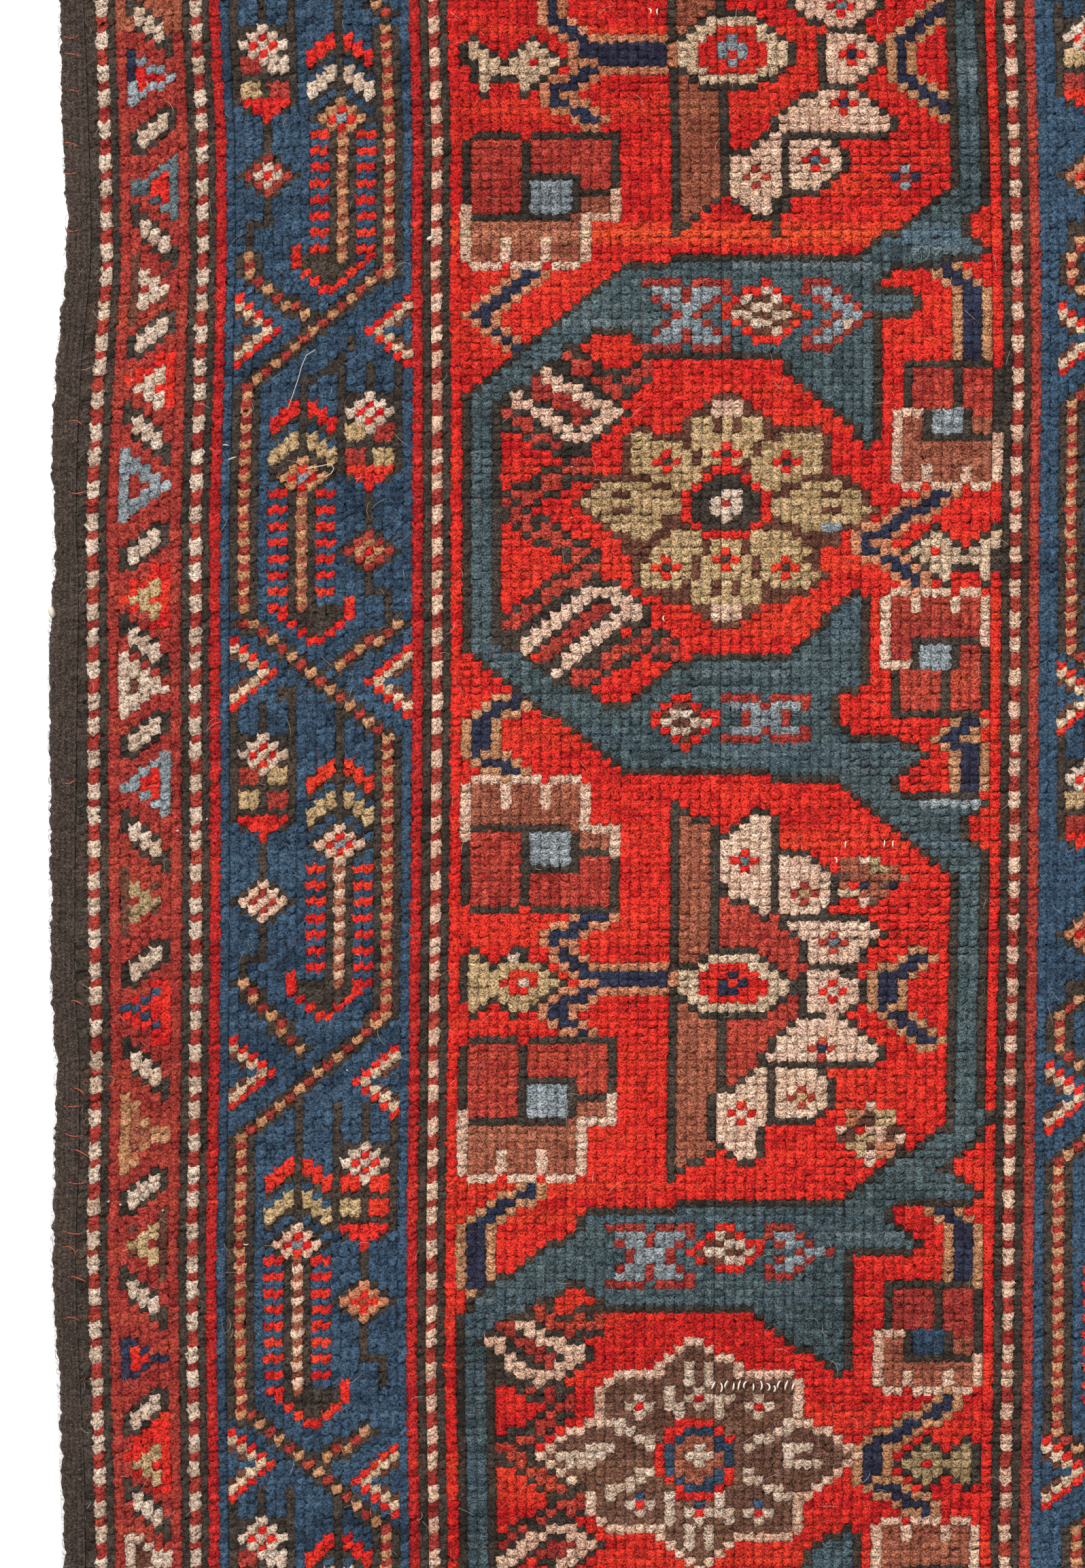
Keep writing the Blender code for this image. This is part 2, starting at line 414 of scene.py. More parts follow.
def stemWithBud(stack, top, bud, bend, side, light, kind):
    # a bud on a dark stem that turns aside and down at its foot
    paint(blockKnots(stack, top, stack + 1, bend), "charcoal")
    darkRing(stack, bud, range(-3, 4))
    centred(budMotifs[kind], stack, bud, light)
    paint({(stack, bend), (stack + side, bend)}, "charcoal")
    paint({(stack + side * 2, bend + down) for down in range(4)}, "charcoal")


def comb(stem, top, peak, bloom, end, side, pale, light):
    # two open peaks over a stem, a small flower, a dotted spine with red teeth, and a dark boat under it
    paint(blockKnots(stem, top, stem + 1, bloom - 1), "charcoal")
    for down, dye in ((0, "madder"), (4, pale)):
        for step in range(3):
            for across in (-step - 1, step + 1):
                column, row = stem + across, peak + down + step
                paint({(column, row), (column, row + 1)}, dye)
                knot(column, row + 2, "charcoal")
    darkRing(stem, bloom, range(-3, 3))
    centred(combMotif, stem, bloom, light)
    for row in range(bloom + 2, end):
        paint({(stem - 1, row), (stem + 1, row)}, "charcoal")
        knot(stem, row, light if row % 2 else "bar")
        if row % 2 == 0:
            paint({(stem + across, row) for across in (-3, -2, 2, 3)}, "madder")
    for step, down in enumerate((0, 1, 2, 3, 3, 2, 1), start=-2):
        column = stem + side * step
        paint(blockKnots(column, end - (step > 0), column + 1, end + down), "charcoal")
        knot(column, end + down, "madder")
    paint({(stem + side * 5, end - down) for down in range(3)} | {(stem - side * 3, end - 1)}, "madder")


# Each unit: a stack of flowers on one side and a comb on the other, which change sides from unit to unit.
# Rows: the flowers' top, bloom and wedge; the bud and its stem's bend; the comb's top, peaks, bloom and end.
blueUnits = [
    {"flowers": (-3, 5, 12), "bud": (21, 27), "comb": (-3, 4, 14, 32),
     "flowerDyes": ("brick", "khaki", "ivory"), "budDye": ("ivory", "crossed"),
     "combDyes": ("ivory", "camel")},
    {"flowers": (44, 50, 57), "bud": (67, 72), "comb": (46, 49, 58, 75),
     "flowerDyes": ("khaki", "brick", "brick"), "budDye": ("camel", "crossed"),
     "combDyes": ("khaki", "camel")},
    {"flowers": (86, 92, 100), "bud": (110, 117), "comb": (84, 93, 103, 121),
     "flowerDyes": ("brick", "khaki", "khaki"), "budDye": ("pink", "full"), "combDyes": ("khaki", "pink")},
    {"flowers": (135, 142, 150), "bud": (159, 166), "comb": (135, 142, 152, 171),
     "flowerDyes": ("madder", "khaki", "madder"), "budDye": ("peach", "ringed"),
     "combDyes": ("khaki", "pink")},
    {"flowers": (182, 188, 196), "bud": (206, 213), "comb": (184, 188, 199, 217),
     "flowerDyes": ("brick", "khaki", "ivory"), "budDye": ("pink", "crossed"),
     "combDyes": ("ivory", "camel")},
]
for number, unit in enumerate(blueUnits):
    side, stack, stem = ((-1, 26, 34), (1, 37, 30))[number % 2]
    stackOfFlowers(stack, *unit["flowers"], *unit["flowerDyes"])
    stemWithBud(stack, unit["flowers"][-1] + 3, *unit["bud"], side, *unit["budDye"])
    comb(stem, *unit["comb"], side, *unit["combDyes"])
for points in (
    [(38.2, 0.5), (39.5, 3), (39.5, 33), (24.8, 47.5), (24.6, 76), (38.2, 89.5), (39.6, 91), (39.6, 124),
     (24.6, 139.5), (24.4, 173), (39.4, 187.4), (39.4, 196)],
    [(25.2, 31.3), (25.2, 33.6), (31.9, 39.6)], [(40.2, 76.5), (33.3, 82.3)],
    [(24.5, 120.8), (31.2, 130.0)], [(37.5, 175.2), (32.3, 179.8)],
):
    dottedLine(points)
for tip, row, way in ((27, 40, 1), (37, 40, -1), (27, 82, 1), (37, 83, -1), (27, 131, 1), (36, 132, -1),
                      (27, 179, 1), (36, 181, -1)):
    chevron(tip, row, way)
paint(strokeKnots([(36, 41.7), (34.5, 44), (31, 47)]) | blockKnots(28, 84, 30, 86), "charcoal")

# the next blue border begins at the cut side: the halves of its flowers, chains and chevrons show
for top, bloom, wedge in ((0, 4, 11), (89, 95, 102)):
    stackOfFlowers(110, top, bloom, wedge, "khaki", "brick", "brick")
for bud in (21, 114):
    stemWithBud(110, bud - 5, bud, bud + 6, -1, "peach", "ringed")
for points in (
    [(110, 29), (108.3, 31), (108.3, 34.5), (113, 39)], [(113, 45), (108.5, 49), (108.5, 79), (113, 84)],
    [(112, 120), (107.8, 124), (107.8, 128), (113, 133)],
    [(113, 138), (107.6, 142), (107.6, 175), (113, 180)], [(113, 183), (109, 187), (109, 196)],
):
    dottedLine(points)
for tip, row in ((111, 41), (111, 85), (110, 134), (110, 180)):
    chevron(tip, row, 1)
for row in range(56, 73, 2):
    paint({(111, row), (112, row), (110, row + 99), (111, row + 99)}, "madder")


# Main border
def smallCross(column, row, arms, middle):
    # a middle knot and its four arms
    column, row = math.floor(straight(column, row)), math.floor(row)
    paint(around({(column, row)}), arms)
    knot(column, row, middle)


def palmette(bar, diamond, petals, eye):
    # a brown bar with a diamond over it, and petals round its right side
    edged(shapeKnots(bar), "bar", "charcoal")
    shapes = [shapeKnots(petal["points"]) for petal in petals]
    for shape in shapes:
        paint(around(shape), "charcoal")
    for shape, petal in zip(shapes, petals):
        paint(shape, "pink")
        smallCross(*petal["dot"], petal.get("arms", "madder"), petal["middle"])
    column, row, wide, tall = diamond
    corners = ((-1, -0.25), (-0.45, -1), (0.45, -1), (1, -0.25), (1, 0.3), (0.45, 1), (-0.45, 1), (-1, 0.3))
    outer, inner = [shapeKnots([(column + across * wide * share, row + down * tall * (share + 1) / 2)
                                for across, down in corners])
                    for share in (1, 0.64)]
    edged(outer, "cream", "charcoal")
    paint(inner, "madder")
    paint(rhombusKnots(column, row, wide * 0.36, tall * 0.5), eye)
    leaningKnot(column, row, "madder")


palmettePetals = {
    "upper": [
        {"points": [(81, -3), (88.7, -3), (88.7, 0.8), (86, 2.8), (82.7, 2.4), (81.2, 0.8)],
         "dot": (85.2, 0.8), "middle": "slate"},
        {"points": [(83.7, 3.7), (86, 3.7), (88.7, 5.2), (88.7, 8), (86.5, 9.7), (83.7, 9.7)],
         "dot": (86.3, 6.5), "middle": "navy"},
        {"points": [(83.2, 10.9), (87.2, 10.9), (88.2, 12.4), (90, 14.4), (90, 15.6), (79, 15.6),
                    (79.3, 14.6)], "dot": (85.5, 12.9), "middle": "navy"},
        {"points": [(80, 16.9), (83.2, 16.9), (85.3, 18.7), (85.3, 20.5), (83, 23), (80, 23)],
         "dot": (82.6, 19.7), "middle": "slate"},
        {"points": [(79.2, 16.4), (78.5, 16.4), (79.2, 16.9), (79.2, 23.5), (78.2, 24.5), (78.2, 26.5),
                    (77.3, 26.5), (75, 24.4), (73.8, 23.4), (73.8, 19.8), (75.5, 18.6)],
         "dot": (76.5, 21.4), "arms": "brick", "middle": "pink"},
    ],
    "lower": [
        {"points": [(77.8, 99.6), (77.8, 104), (78.5, 104.3), (78.5, 112.4), (77.3, 112), (75, 110),
                    (73.4, 108.3), (73.4, 102.9)],
         "dot": (76, 105.7), "middle": "slate"},
        {"points": [(79.4, 104.7), (81.6, 104.7), (84.6, 107.6), (84.6, 109.7), (82.5, 112), (79.4, 112)],
         "dot": (82, 109), "arms": "brick", "middle": "khaki"},
        {"points": [(79.2, 112.8), (88.3, 112.8), (89, 114.5), (86.5, 118), (82.4, 118), (82.4, 116)],
         "dot": (85, 115.5), "arms": "crimson", "middle": "slate"},
        {"points": [(82.4, 118.8), (84.6, 118.8), (87.4, 121), (87.4, 123), (84.5, 124.6), (82.2, 124.3)],
         "dot": (84.7, 121.7), "middle": "ivory"},
        {"points": [(81.3, 125.2), (86.2, 125.2), (89.2, 128.8), (89.2, 130.1), (78, 130.1), (78.2, 128.7)],
         "dot": (83.7, 128), "arms": "crimson", "middle": "navy"},
        {"points": [(78, 130.8), (78, 137.5), (77, 138), (77, 142.5), (76, 142.5), (73, 139.8),
                    (73, 134.5)], "dot": (75.4, 136), "middle": "pink"},
        {"points": [(79, 131), (82, 131), (84.3, 133.2), (84.3, 135.3), (82, 137.5), (79, 137.5)],
         "dot": (81.5, 134.2), "arms": "crimson", "middle": "khaki"},
    ],
}
dome = shapeKnots([(73.4, 107), (79, 110.3), (81.6, 114.5), (81.7, 120.5), (81.6, 127), (79, 131),
                   (73.4, 135.5)])
edged(dome, "crimson", "charcoal")
upperBar = [(68.8, -3), (73.2, -3), (73, 1), (73, 24), (68.8, 28)]
lowerBar = [(68.8, 99.4), (72.4, 102), (72.4, 140.5), (68.8, 143.4)]
palmette(upperBar, (74.3, 6.1, 5.6, 3.8), palmettePetals["upper"], "sky")
palmette(lowerBar, (74.3, 120.7, 5.4, 3.4), palmettePetals["lower"], "navy")
paint(strokeKnots([(68.3, -3), (68.3, 28)]), "charcoal")
paint(strokeKnots([(68.2, 98.5), (68.2, 144.5)]), "charcoal")
paint(strokeKnots([(79.7, 16), (79.7, 24), (78.7, 28)]), "charcoal")
paint({(91, 20), (91, 22)}, "sky")
paint({(90, 21), (92, 21)}, "navy")
knot(91, 21, "brick")

# Small flowers
fishMotif = [
    ".k.....k...",
    "kCk...kCk..",
    "kCCk.kCCCk.",
    "kkCCkCCrCCk",
    ".kCCCCCCCk.",
    ".kCkkkCCk..",
    "..C...Ck...",
    "..k...k....",
]
sprigMotif = [
    "...k...k.",
    "..kok.kok",
    ".koookook",
    "koorooook",
    ".koookook",
    "..kok.kok",
    "...k...k.",
]
birdMotif = [
    ".k...kk....",
    "khk.kIk....",
    "khhkhhhhk..",
    "khhhhrrrhk.",
    "khhhrrIrhhk",
    "khhhhrrhhk.",
    "khhkhhhhk..",
    ".hk.khhk...",
    ".k...k.....",
]
stamp(fishMotif, 46.8, 4)
stamp(fishMotif, 91.3, 64, mirror=True)
stamp(sprigMotif, 90.8, 176)
stamp(birdMotif, 46.3, 116)


def bentHook(points, shank=None, edge="peach"):
    # a thin dark hook in a light outline, some with a straight shank
    body = strokeKnots(points)
    if shank:
        body |= blockKnots(*shank)
    edged(body, "navy", edge)


hooks = [
    {"points": [(56, -1), (55.6, 1.3), (60, 5.5)], "shank": (59, 5, 68, 8)},
    {"points": [(60.5, 8), (55.8, 11.6), (60.3, 14.7)]},
    {"points": [(61, 112), (56, 115.3), (60, 119.7)], "shank": (60, 119, 68, 121)},
    {"points": [(60, 121.3), (56, 123.8), (60, 127.3)]},
    {"points": [(54, 33.3), (48.3, 38.4), (52.3, 42.4)]},
    {"points": [(53.3, 85.4), (48.7, 88.3)], "shank": (48, 88, 50, 93), "edge": "camel"},
    {"points": [(49.7, 93), (52.3, 94.8)], "edge": "camel"},
    {"points": [(54, 145.8), (49.2, 149.4)], "shank": (48, 150, 50, 158), "edge": "camel"},
    {"points": [(96, 0.5), (91.3, 5.3), (91.3, 9), (96.3, 13.2)], "edge": "camel"},
    {"points": [(95.5, 32.8), (98.3, 35.4)], "shank": (97, 35, 99, 45), "edge": "camel"},
    {"points": [(95.8, 60.3), (87.7, 66.4), (93.3, 71.5)]},
    {"points": [(99.3, 88.3), (96, 90.3), (98, 91.5)], "shank": (97, 91, 99, 97), "edge": "camel"},
    {"points": [(94, 117.3), (90.6, 119.8)], "shank": (89, 119, 91, 124), "edge": "camel"},
    {"points": [(91, 124.3), (94.7, 127.6)], "edge": "camel"},
    {"points": [(94.6, 147.8), (97.5, 149.7)], "shank": (97, 150, 99, 158), "edge": "camel"},
    {"points": [(96.6, 171.8), (88.8, 177.4)], "shank": (88, 177, 90, 182), "edge": "camel"},
    {"points": [(89.5, 182), (94.3, 185.4)], "edge": "camel"},
]
for hook in hooks:
    bentHook(**hook)

# Square flowers: two dark-edged blocks and a bright square over a stepped body with pale teeth.
# Each block has its dye and its first and last corner, in knots from the flower's own top left corner.
wideFlower = {"rows": 17, "blocks": [
    ("charcoal", (1, 0), (16, 1)), ("charcoal", (0, 1), (1, 9)),
    ("madder", (6, 0), (7, 1)), ("charcoal", (6, 1), (7, 11)),
    ("charcoal", (15, 1), (16, 7)), ("crimson", (1, 1), (6, 10)),
    ("crimson", (7, 1), (15, 7)), ("rose", (1, 11), (12, 16)),
    ("charcoal", (7, 5), (12, 11)), ("core", (7, 6), (11, 10)),
    ("charcoal", (1, 10), (6, 11)), ("charcoal", (12, 7), (15, 8)),
    ("rose", (12, 8), (15, 10)), ("rose", (11, 10), (13, 11)),
    ("rim", (0, 9), (1, 16)), ("rim", (1, 16), (4, 17)),
    ("rim", (5, 16), (8, 17)), ("rim", (9, 16), (12, 17)),
    ("rim", (12, 11), (13, 16)), ("rim", (12, 10), (15, 11)),
    ("rim", (15, 7), (16, 11)), ("rim", (4, 13), (5, 16)),
    ("rim", (8, 13), (9, 16)),
]}
narrowFlower = {"rows": 16, "blocks": [
    ("charcoal", (1, 0), (10, 1)), ("charcoal", (1, 1), (2, 6)),
    ("charcoal", (10, 1), (11, 9)), ("crimson", (2, 1), (6, 6)),
    ("charcoal", (6, 1), (7, 6)), ("crimson", (7, 1), (10, 7)),
    ("body", (1, 7), (10, 15)), ("charcoal", (3, 6), (8, 10)),
    ("core", (4, 6), (7, 9)), ("charcoal", (8, 9), (10, 10)),
    ("rim", (0, 6), (1, 15)), ("rim", (1, 6), (3, 7)),
    ("rim", (10, 9), (11, 15)), ("rim", (1, 15), (3, 16)),
    ("rim", (4, 15), (7, 16)), ("rim", (8, 15), (10, 16)),
    ("rim", (3, 13), (4, 15)), ("rim", (7, 13), (8, 15)),
]}


def squareFlower(kind, left, top, flip=False, shorter=0, **dyesHere):
    # flip stands it on its head; shorter takes rows out of its foot
    colours = {"core": "sky", "rim": "pink", "body": "rose"} | dyesHere
    left = round(straight(left, top + 8))
    for dye, (c0, r0), (c1, r1) in kind["blocks"]:
        r0, r1 = [row - shorter if row > 12 else row for row in (r0, r1)]
        if flip:
            r0, r1 = kind["rows"] - shorter - r1, kind["rows"] - shorter - r0
        paint(blockKnots(left + c0, top + r0, left + c1, top + r1), colours.get(dye, dye))


squareFlower(wideFlower, 46.8, 16)
squareFlower(wideFlower, 46.6, 95, flip=True)
squareFlower(wideFlower, 46.0, 127, shorter=-1)
squareFlower(narrowFlower, 90.2, 44)
squareFlower(narrowFlower, 89.8, 72, flip=True, body="brick")
squareFlower(narrowFlower, 88.3, 157, shorter=2, core="indigo", crimson="brick")
squareFlower(narrowFlower, 88.4, 186, flip=True)

# The vine: a straight stem at each side, with three leaves that reach across between them
leafOne = [(64, 32.6), (89, 32), (91, 32.5), (88.7, 34.2), (88, 35.6), (92.8, 35.9), (92.8, 37.5),
           (88.3, 38), (88.3, 54), (84.5, 49.3), (80.3, 45), (79.5, 43.3), (66.3, 42.8), (63.5, 40.4),
           (61.5, 39.7), (58, 42.5), (50.2, 49.5), (49.9, 80), (47.9, 80), (47.9, 49), (49.5, 46.5),
           (54, 42), (58.5, 37.6), (61, 35)]
leafTwo = [(66, 84), (68.5, 82.2), (70.5, 81.5), (79.3, 81.5), (82, 79), (84, 76.3), (86.2, 73.6),
           (87.2, 73.3), (87.2, 83.3), (84.5, 84.8), (84.5, 88.3), (86.5, 91), (94, 91.8), (91.5, 93.9),
           (90.7, 95), (90.7, 96.7), (92, 98.2), (99.3, 98.2), (97, 101), (96.8, 102.2), (99.5, 104.5),
           (99.5, 138.3), (99, 139.3), (97.2, 141), (95.2, 143.4), (97.5, 145.5), (98.8, 147),
           (90.3, 147.3), (85, 149), (86, 147), (88.5, 145), (93, 141), (95.8, 139), (97.4, 138.3),
           (97.4, 107.5), (95.7, 106.3), (85.3, 95.7), (84.7, 94.9), (78, 94.9), (77.5, 94), (63.5, 93.8),
           (57.5, 87.9), (53.6, 85.3), (51, 83), (49, 80.8), (47.9, 79), (49.9, 79), (53, 80.3), (56, 83.3),
           (59.5, 85.2), (61.5, 87.3), (63.3, 87.4)]
leafThree = [(60, 149.4), (70, 148.4), (86, 147.6), (91, 147.3), (89, 149), (90.7, 150.3), (93, 152.6),
             (86.2, 153.2), (85.3, 155), (85.2, 168.3), (76.5, 160.5), (75, 160), (62, 160), (58.5, 157),
             (54.5, 159.7), (51, 161.7), (49.2, 163.5), (49.6, 196), (47.6, 196), (47.3, 163), (47.3, 161),
             (50, 158), (54, 154.7), (58, 151.7)]
rightStem = [(97.5, -3), (99.1, -3), (99.1, 6), (99.6, 12), (99.6, 24.5), (97, 27.2), (98.5, 29.7),
             (100, 30), (100, 31.4), (91.5, 31.6), (88.5, 33), (86, 33), (88.7, 30.4), (92, 27.7),
             (97, 23.3)]
lastLeaf = [(79, 196), (83, 190), (86, 187.7), (86, 196)]
vine = set().union(*[shapeKnots(outline) for outline in (leafOne, leafTwo, leafThree, rightStem, lastLeaf)])
edged(vine, "teal", "charcoal")
for points in ([(74.5, 32.5), (88.5, 32.5)], [(57.7, 39.3), (67, 39.3)], [(93.3, 30.4), (99.3, 30.4)],
               [(71, 82.4), (80, 82.4)], [(48, 55.5), (49.7, 55.5)], [(85, 151.5), (91, 151.5)],
               [(96.7, 138.6), (98.8, 138.6)], [(98.5, 7.5), (98.5, 9.5)]):
    paint(strokeKnots(points, 2 if points[0][0] == points[1][0] else 1) & vine, "slate")
paint(strokeKnots([(93.8, 98.6), (98.5, 98.6)]), "sky")

exMotif = [
    "bbbb.bbbb",
    ".sssbsssb",
    ".bssbssb.",
    "..bsssb..",
    "...bsb...",
    "..bsssb..",
    ".bssbssb.",
    ".sssbsssb",
    "bbbb.bbbb",
]
arrowMotif = [
    "bbb....",
    "bssb...",
    ".bssb..",
    "..bssb.",
    "...bssb",
    "..bsIb.",
    ".bssb..",
    "bssb...",
    "bbb....",
]
stamp(exMotif, 65, 34)
stamp(exMotif[:2] + exMotif[3:4] + exMotif[5:6] + exMotif[7:], 73, 85)
stamp(exMotif[:4] + exMotif[5:], 61, 150)
stamp(arrowMotif, 81.3, 34)
stamp(arrowMotif[:3] + arrowMotif[4:5] + arrowMotif[6:], 77.5, 150)


def leafDiamond(column, row, wide, tall):
    # a red diamond with pale and dark bars that slant up to the right
    paint(rhombusKnots(column, row, wide, tall), "madder")
    for across, down in rhombusKnots(column, row, wide - 1.1, tall - 1.0):
        knot(across, down, "ivory" if (down + across // 2) % 2 else "aubergine")


leafDiamond(77.7, 38.2, 4.9, 4.4)
leafDiamond(69.5, 88.2, 3.9, 3.6)
leafDiamond(73.6, 153.2, 4.3, 3.6)
stamp(["...p...", ".eeahh.", ".eaahh.", "pa.ppaa", "aahhpap", ".hhaeea", "..hpee.", "...p..."], 84.9, 135)

# Rosettes: eight petals round a dark or blue middle
khakiPetals = [
    [(72, 49.2), (75.3, 49.2), (75.3, 51), (77, 51), (77, 54.5), (76, 57.8), (71.4, 57.8), (70.2, 54.5),
     (70.2, 51), (72, 51)],
    [(71.3, 65.6), (76, 65.6), (77, 69), (77, 73.8), (75.2, 73.8), (75.2, 75.8), (72.3, 75.8), (72.3, 73.8),
     (70.3, 73.8), (70.3, 69)],
    [(58.9, 61.6), (61.4, 59.3), (65.5, 58.6), (67.5, 60.4), (69.4, 60.8), (69.4, 62.8), (67.5, 63.4),
     (65.6, 66), (62.5, 65), (60.3, 63)],
    [(88.2, 62), (86.5, 59.7), (82, 58.9), (79.8, 60.7), (78.2, 61), (78.2, 63.2), (80.3, 63.8), (82, 65),
     (85, 65), (87.5, 63.2)],
    [(64.3, 53.2), (66.3, 53.2), (67, 54.4), (69.5, 54.4), (70.6, 57), (71.3, 59), (70.2, 60.2), (67, 59),
     (64.3, 57.8)],
    [(83, 53.4), (80, 53.4), (77.6, 54.6), (76.3, 57), (76.2, 59), (77.2, 60.3), (80.5, 59.2), (83, 57.6)],
    [(64.5, 71.3), (65.2, 68.2), (68, 65.3), (71, 64.8), (71.6, 66), (70.3, 69), (70.2, 71.2), (67, 72.2)],
    [(83, 71), (82.6, 68.2), (79.8, 65.5), (77, 64.8), (76, 66), (77.2, 69), (77.8, 71.2), (80.5, 72.4)],
]
for points in ([(66.5, 53.6), (69.7, 53.6)], [(77.6, 53.6), (79.6, 53.4)], [(61, 59), (64, 58.4)],
               [(64, 66.6), (66.6, 65.6)], [(67.3, 72.8), (69.8, 73.2)], [(77.5, 73.2), (79.8, 72.9)],
               [(83.5, 58.6), (86, 59)], [(84.5, 65.6), (81.5, 66.2)]):
    paint(strokeKnots(points, 1, 2), "aubergine")
for outline in khakiPetals:
    edged(shapeKnots(outline), "khaki", "aubergine")
paint(shapeKnots([(72, 49.2), (75.3, 49.2), (75.3, 51), (72, 51)])
      | shapeKnots([(72.3, 74), (75.2, 74), (75.2, 75.8), (72.3, 75.8)]), "pink")
for column, row in ((72.5, 51.5), (72.5, 52.5), (74.6, 51.5), (74.6, 52.5), (72.5, 71.5), (72.5, 72.5),
                    (74.6, 71.5), (74.6, 72.5), (62.7, 60.8), (63.7, 60.8), (62.7, 62.8), (63.7, 62.8),
                    (84, 60.8), (85, 60.8), (84, 62.8), (85, 62.8), (66, 68.5), (81.5, 68.5)):
    leaningKnot(column, row, "aubergine")
rosetteHeart = shapeKnots([(70.3, 60), (72, 58.4), (75.3, 58.4), (77.3, 60), (77.3, 63.5), (75.3, 65.2),
                           (72, 65.2), (70.3, 63.5)])
edged(rosetteHeart, "charcoal", "madder")
paint(shapeKnots([(72.3, 60.3), (75.2, 60.3), (75.2, 62.7), (72.3, 62.7)]), "ivory")
smallCross(73.7, 61.4, "ivory", "brick")
leaningKnot(72.6, 60, "charcoal")
leaningKnot(73.7, 63, "ivory")
for column, row in ((67.7, 56.4), (79.5, 56.5), (67.8, 69.3), (79.6, 69.3), (73.6, 55.6), (73.6, 68.6)):
    smallCross(column, row, "madder", "charcoal")
paint(strokeKnots([(83.4, 64.7), (84.6, 64.7)]), "sky")

plumRosette = [(70.8, 164.4), (72.3, 166.3), (74.3, 167.4), (74.5, 169), (80, 169), (80.3, 174.4),
               (83, 175.5), (85, 177.4), (87, 178.3), (84.5, 180.3), (82, 182.5), (80.3, 183.5),
               (80.3, 187.5), (75, 188.2), (73.3, 190), (70.8, 191.7), (68.3, 190), (67.3, 187.3),
               (61.2, 187.3), (60.6, 183.5), (58.3, 181.5), (56, 179.7), (55.7, 177.8), (58.5, 175.7),
               (61, 174.5), (61, 170), (63.4, 169), (66.8, 169.2), (68, 167)]
edged(shapeKnots(plumRosette), "plum", "pink")
for points in ([(61.5, 174.3), (63, 175), (66, 177)], [(61.5, 183.2), (63.5, 182.2), (66, 180.4)],
               [(80, 174.8), (78, 176.3), (75.7, 177.3)], [(79.7, 183.3), (77.5, 182), (75.6, 180.6)],
               [(67.8, 170.7), (68, 172), (68.8, 173.8)], [(73.8, 171), (73.2, 172), (72.8, 173.8)],
               [(67.6, 186.3), (67.8, 184.5), (68.8, 183.3)], [(73.6, 186.5), (73.4, 184.5), (72.6, 183.3)],
               [(69.8, 167.3), (69.8, 169)], [(71.8, 167.3), (71.8, 169)], [(69.7, 187), (69.5, 189)],
               [(71.8, 187), (72, 189)], [(57.3, 178.3), (61.7, 177.7)], [(57.5, 179.4), (60.5, 178.9)],
               [(79.5, 178), (82, 177.7)], [(80, 179.6), (83, 179)]):
    paint(strokeKnots(points), "ivory")
for column, row in ((64.6, 172.2), (70.8, 171.9), (76.6, 172.5), (64.5, 184.9), (70.6, 185.3), (76.5, 185.4)):
    smallCross(column, row, "ivory", "madder")
    if row > 180:
        leaningKnot(column, row - 1, "indigo")
rosetteRings = {"madder": 5.2, "indigo": 4.0, "rose": 2.9}
for dye, reach in rosetteRings.items():
    turns = [(turn + 0.5) * math.tau / 8 for turn in range(8)]
    octagon = [(70.8 + reach * math.sin(turn) * 0.86, 178.9 + reach * math.cos(turn)) for turn in turns]
    paint(shapeKnots(octagon), dye)
smallCross(70.8, 178.4, "ivory", "ivory")


# Checked zigzags and bent bars at the left of the border
def checkedBand(points):
    # four courses that step along with the band: a dark one at each side, dark knots here and there between
    for leg in zip(points, points[1:]):
        (left, leftRow), (right, rightRow) = sorted([(straight(column, row), row) for column, row in leg])
        for column in range(math.floor(left), math.ceil(right)):
            top = round(float(np.interp(column + 0.5, [left, right], [leftRow, rightRow])) - 2)
            for down in range(4):
                dark = down in (0, 3) or (down == 1 + column % 2 and column % 3 == 0)
                knot(column, top + down, "charcoal" if dark else "crimson")


def bentBar(points):
    # a thin light bar in a dark outline
    edged(strokeKnots(points), "pink", "charcoal")


for points in (
    [(51, 50.3), (60, 56.6), (51, 62), (60.6, 69.2), (51, 76.8)], [(57.5, 44), (63, 47.6), (66, 44.5)],
    [(54.5, 47.5), (59.5, 51.5)], [(68.7, 80), (65.5, 78), (58.3, 83.5)], [(62.5, 75), (55.5, 80.3)],
    [(50.7, 167.5), (57.5, 172.3), (51.3, 178), (58.5, 184.3), (50.8, 190)],
    [(54.5, 161), (57.5, 163), (60.5, 161.5)], [(52.3, 163.7), (56, 166.7)], [(55, 190.3), (58, 189)],
):
    checkedBand(points)
for points in (
    [(55.3, 45.6), (59.8, 49.4), (62.6, 50.3), (61, 51.9), (59.3, 53.6), (58.3, 53.6), (52.4, 48.6)],
    [(53.1, 79.3), (60.4, 72.2), (61.6, 72), (64.6, 74.7), (62.3, 76.4), (56.3, 82.6)],
    [(51, 192), (55.7, 187.7), (57.7, 187.5), (59.5, 189.3), (57.2, 192)],
):
    bentBar(points)
smallRing = [(52.2, 162.2), (54, 163.4), (56.3, 164.7), (59, 166.2), (56.3, 168.4), (54.6, 169.1),
             (52.9, 167.8), (51.4, 166.2), (50.2, 164.4)]
paint(shapeKnots(smallRing), "charcoal")
bentBar(smallRing)
for points in (
    [(54.2, 46.8), (59.5, 50.7)], [(55.3, 80), (61.3, 74.5)], [(56, 190.5), (58, 189)],
    [(52.3, 164), (56, 167.2)], [(50.8, 162), (52, 163.2)],
):
    paint(strokeKnots(points), "brick")

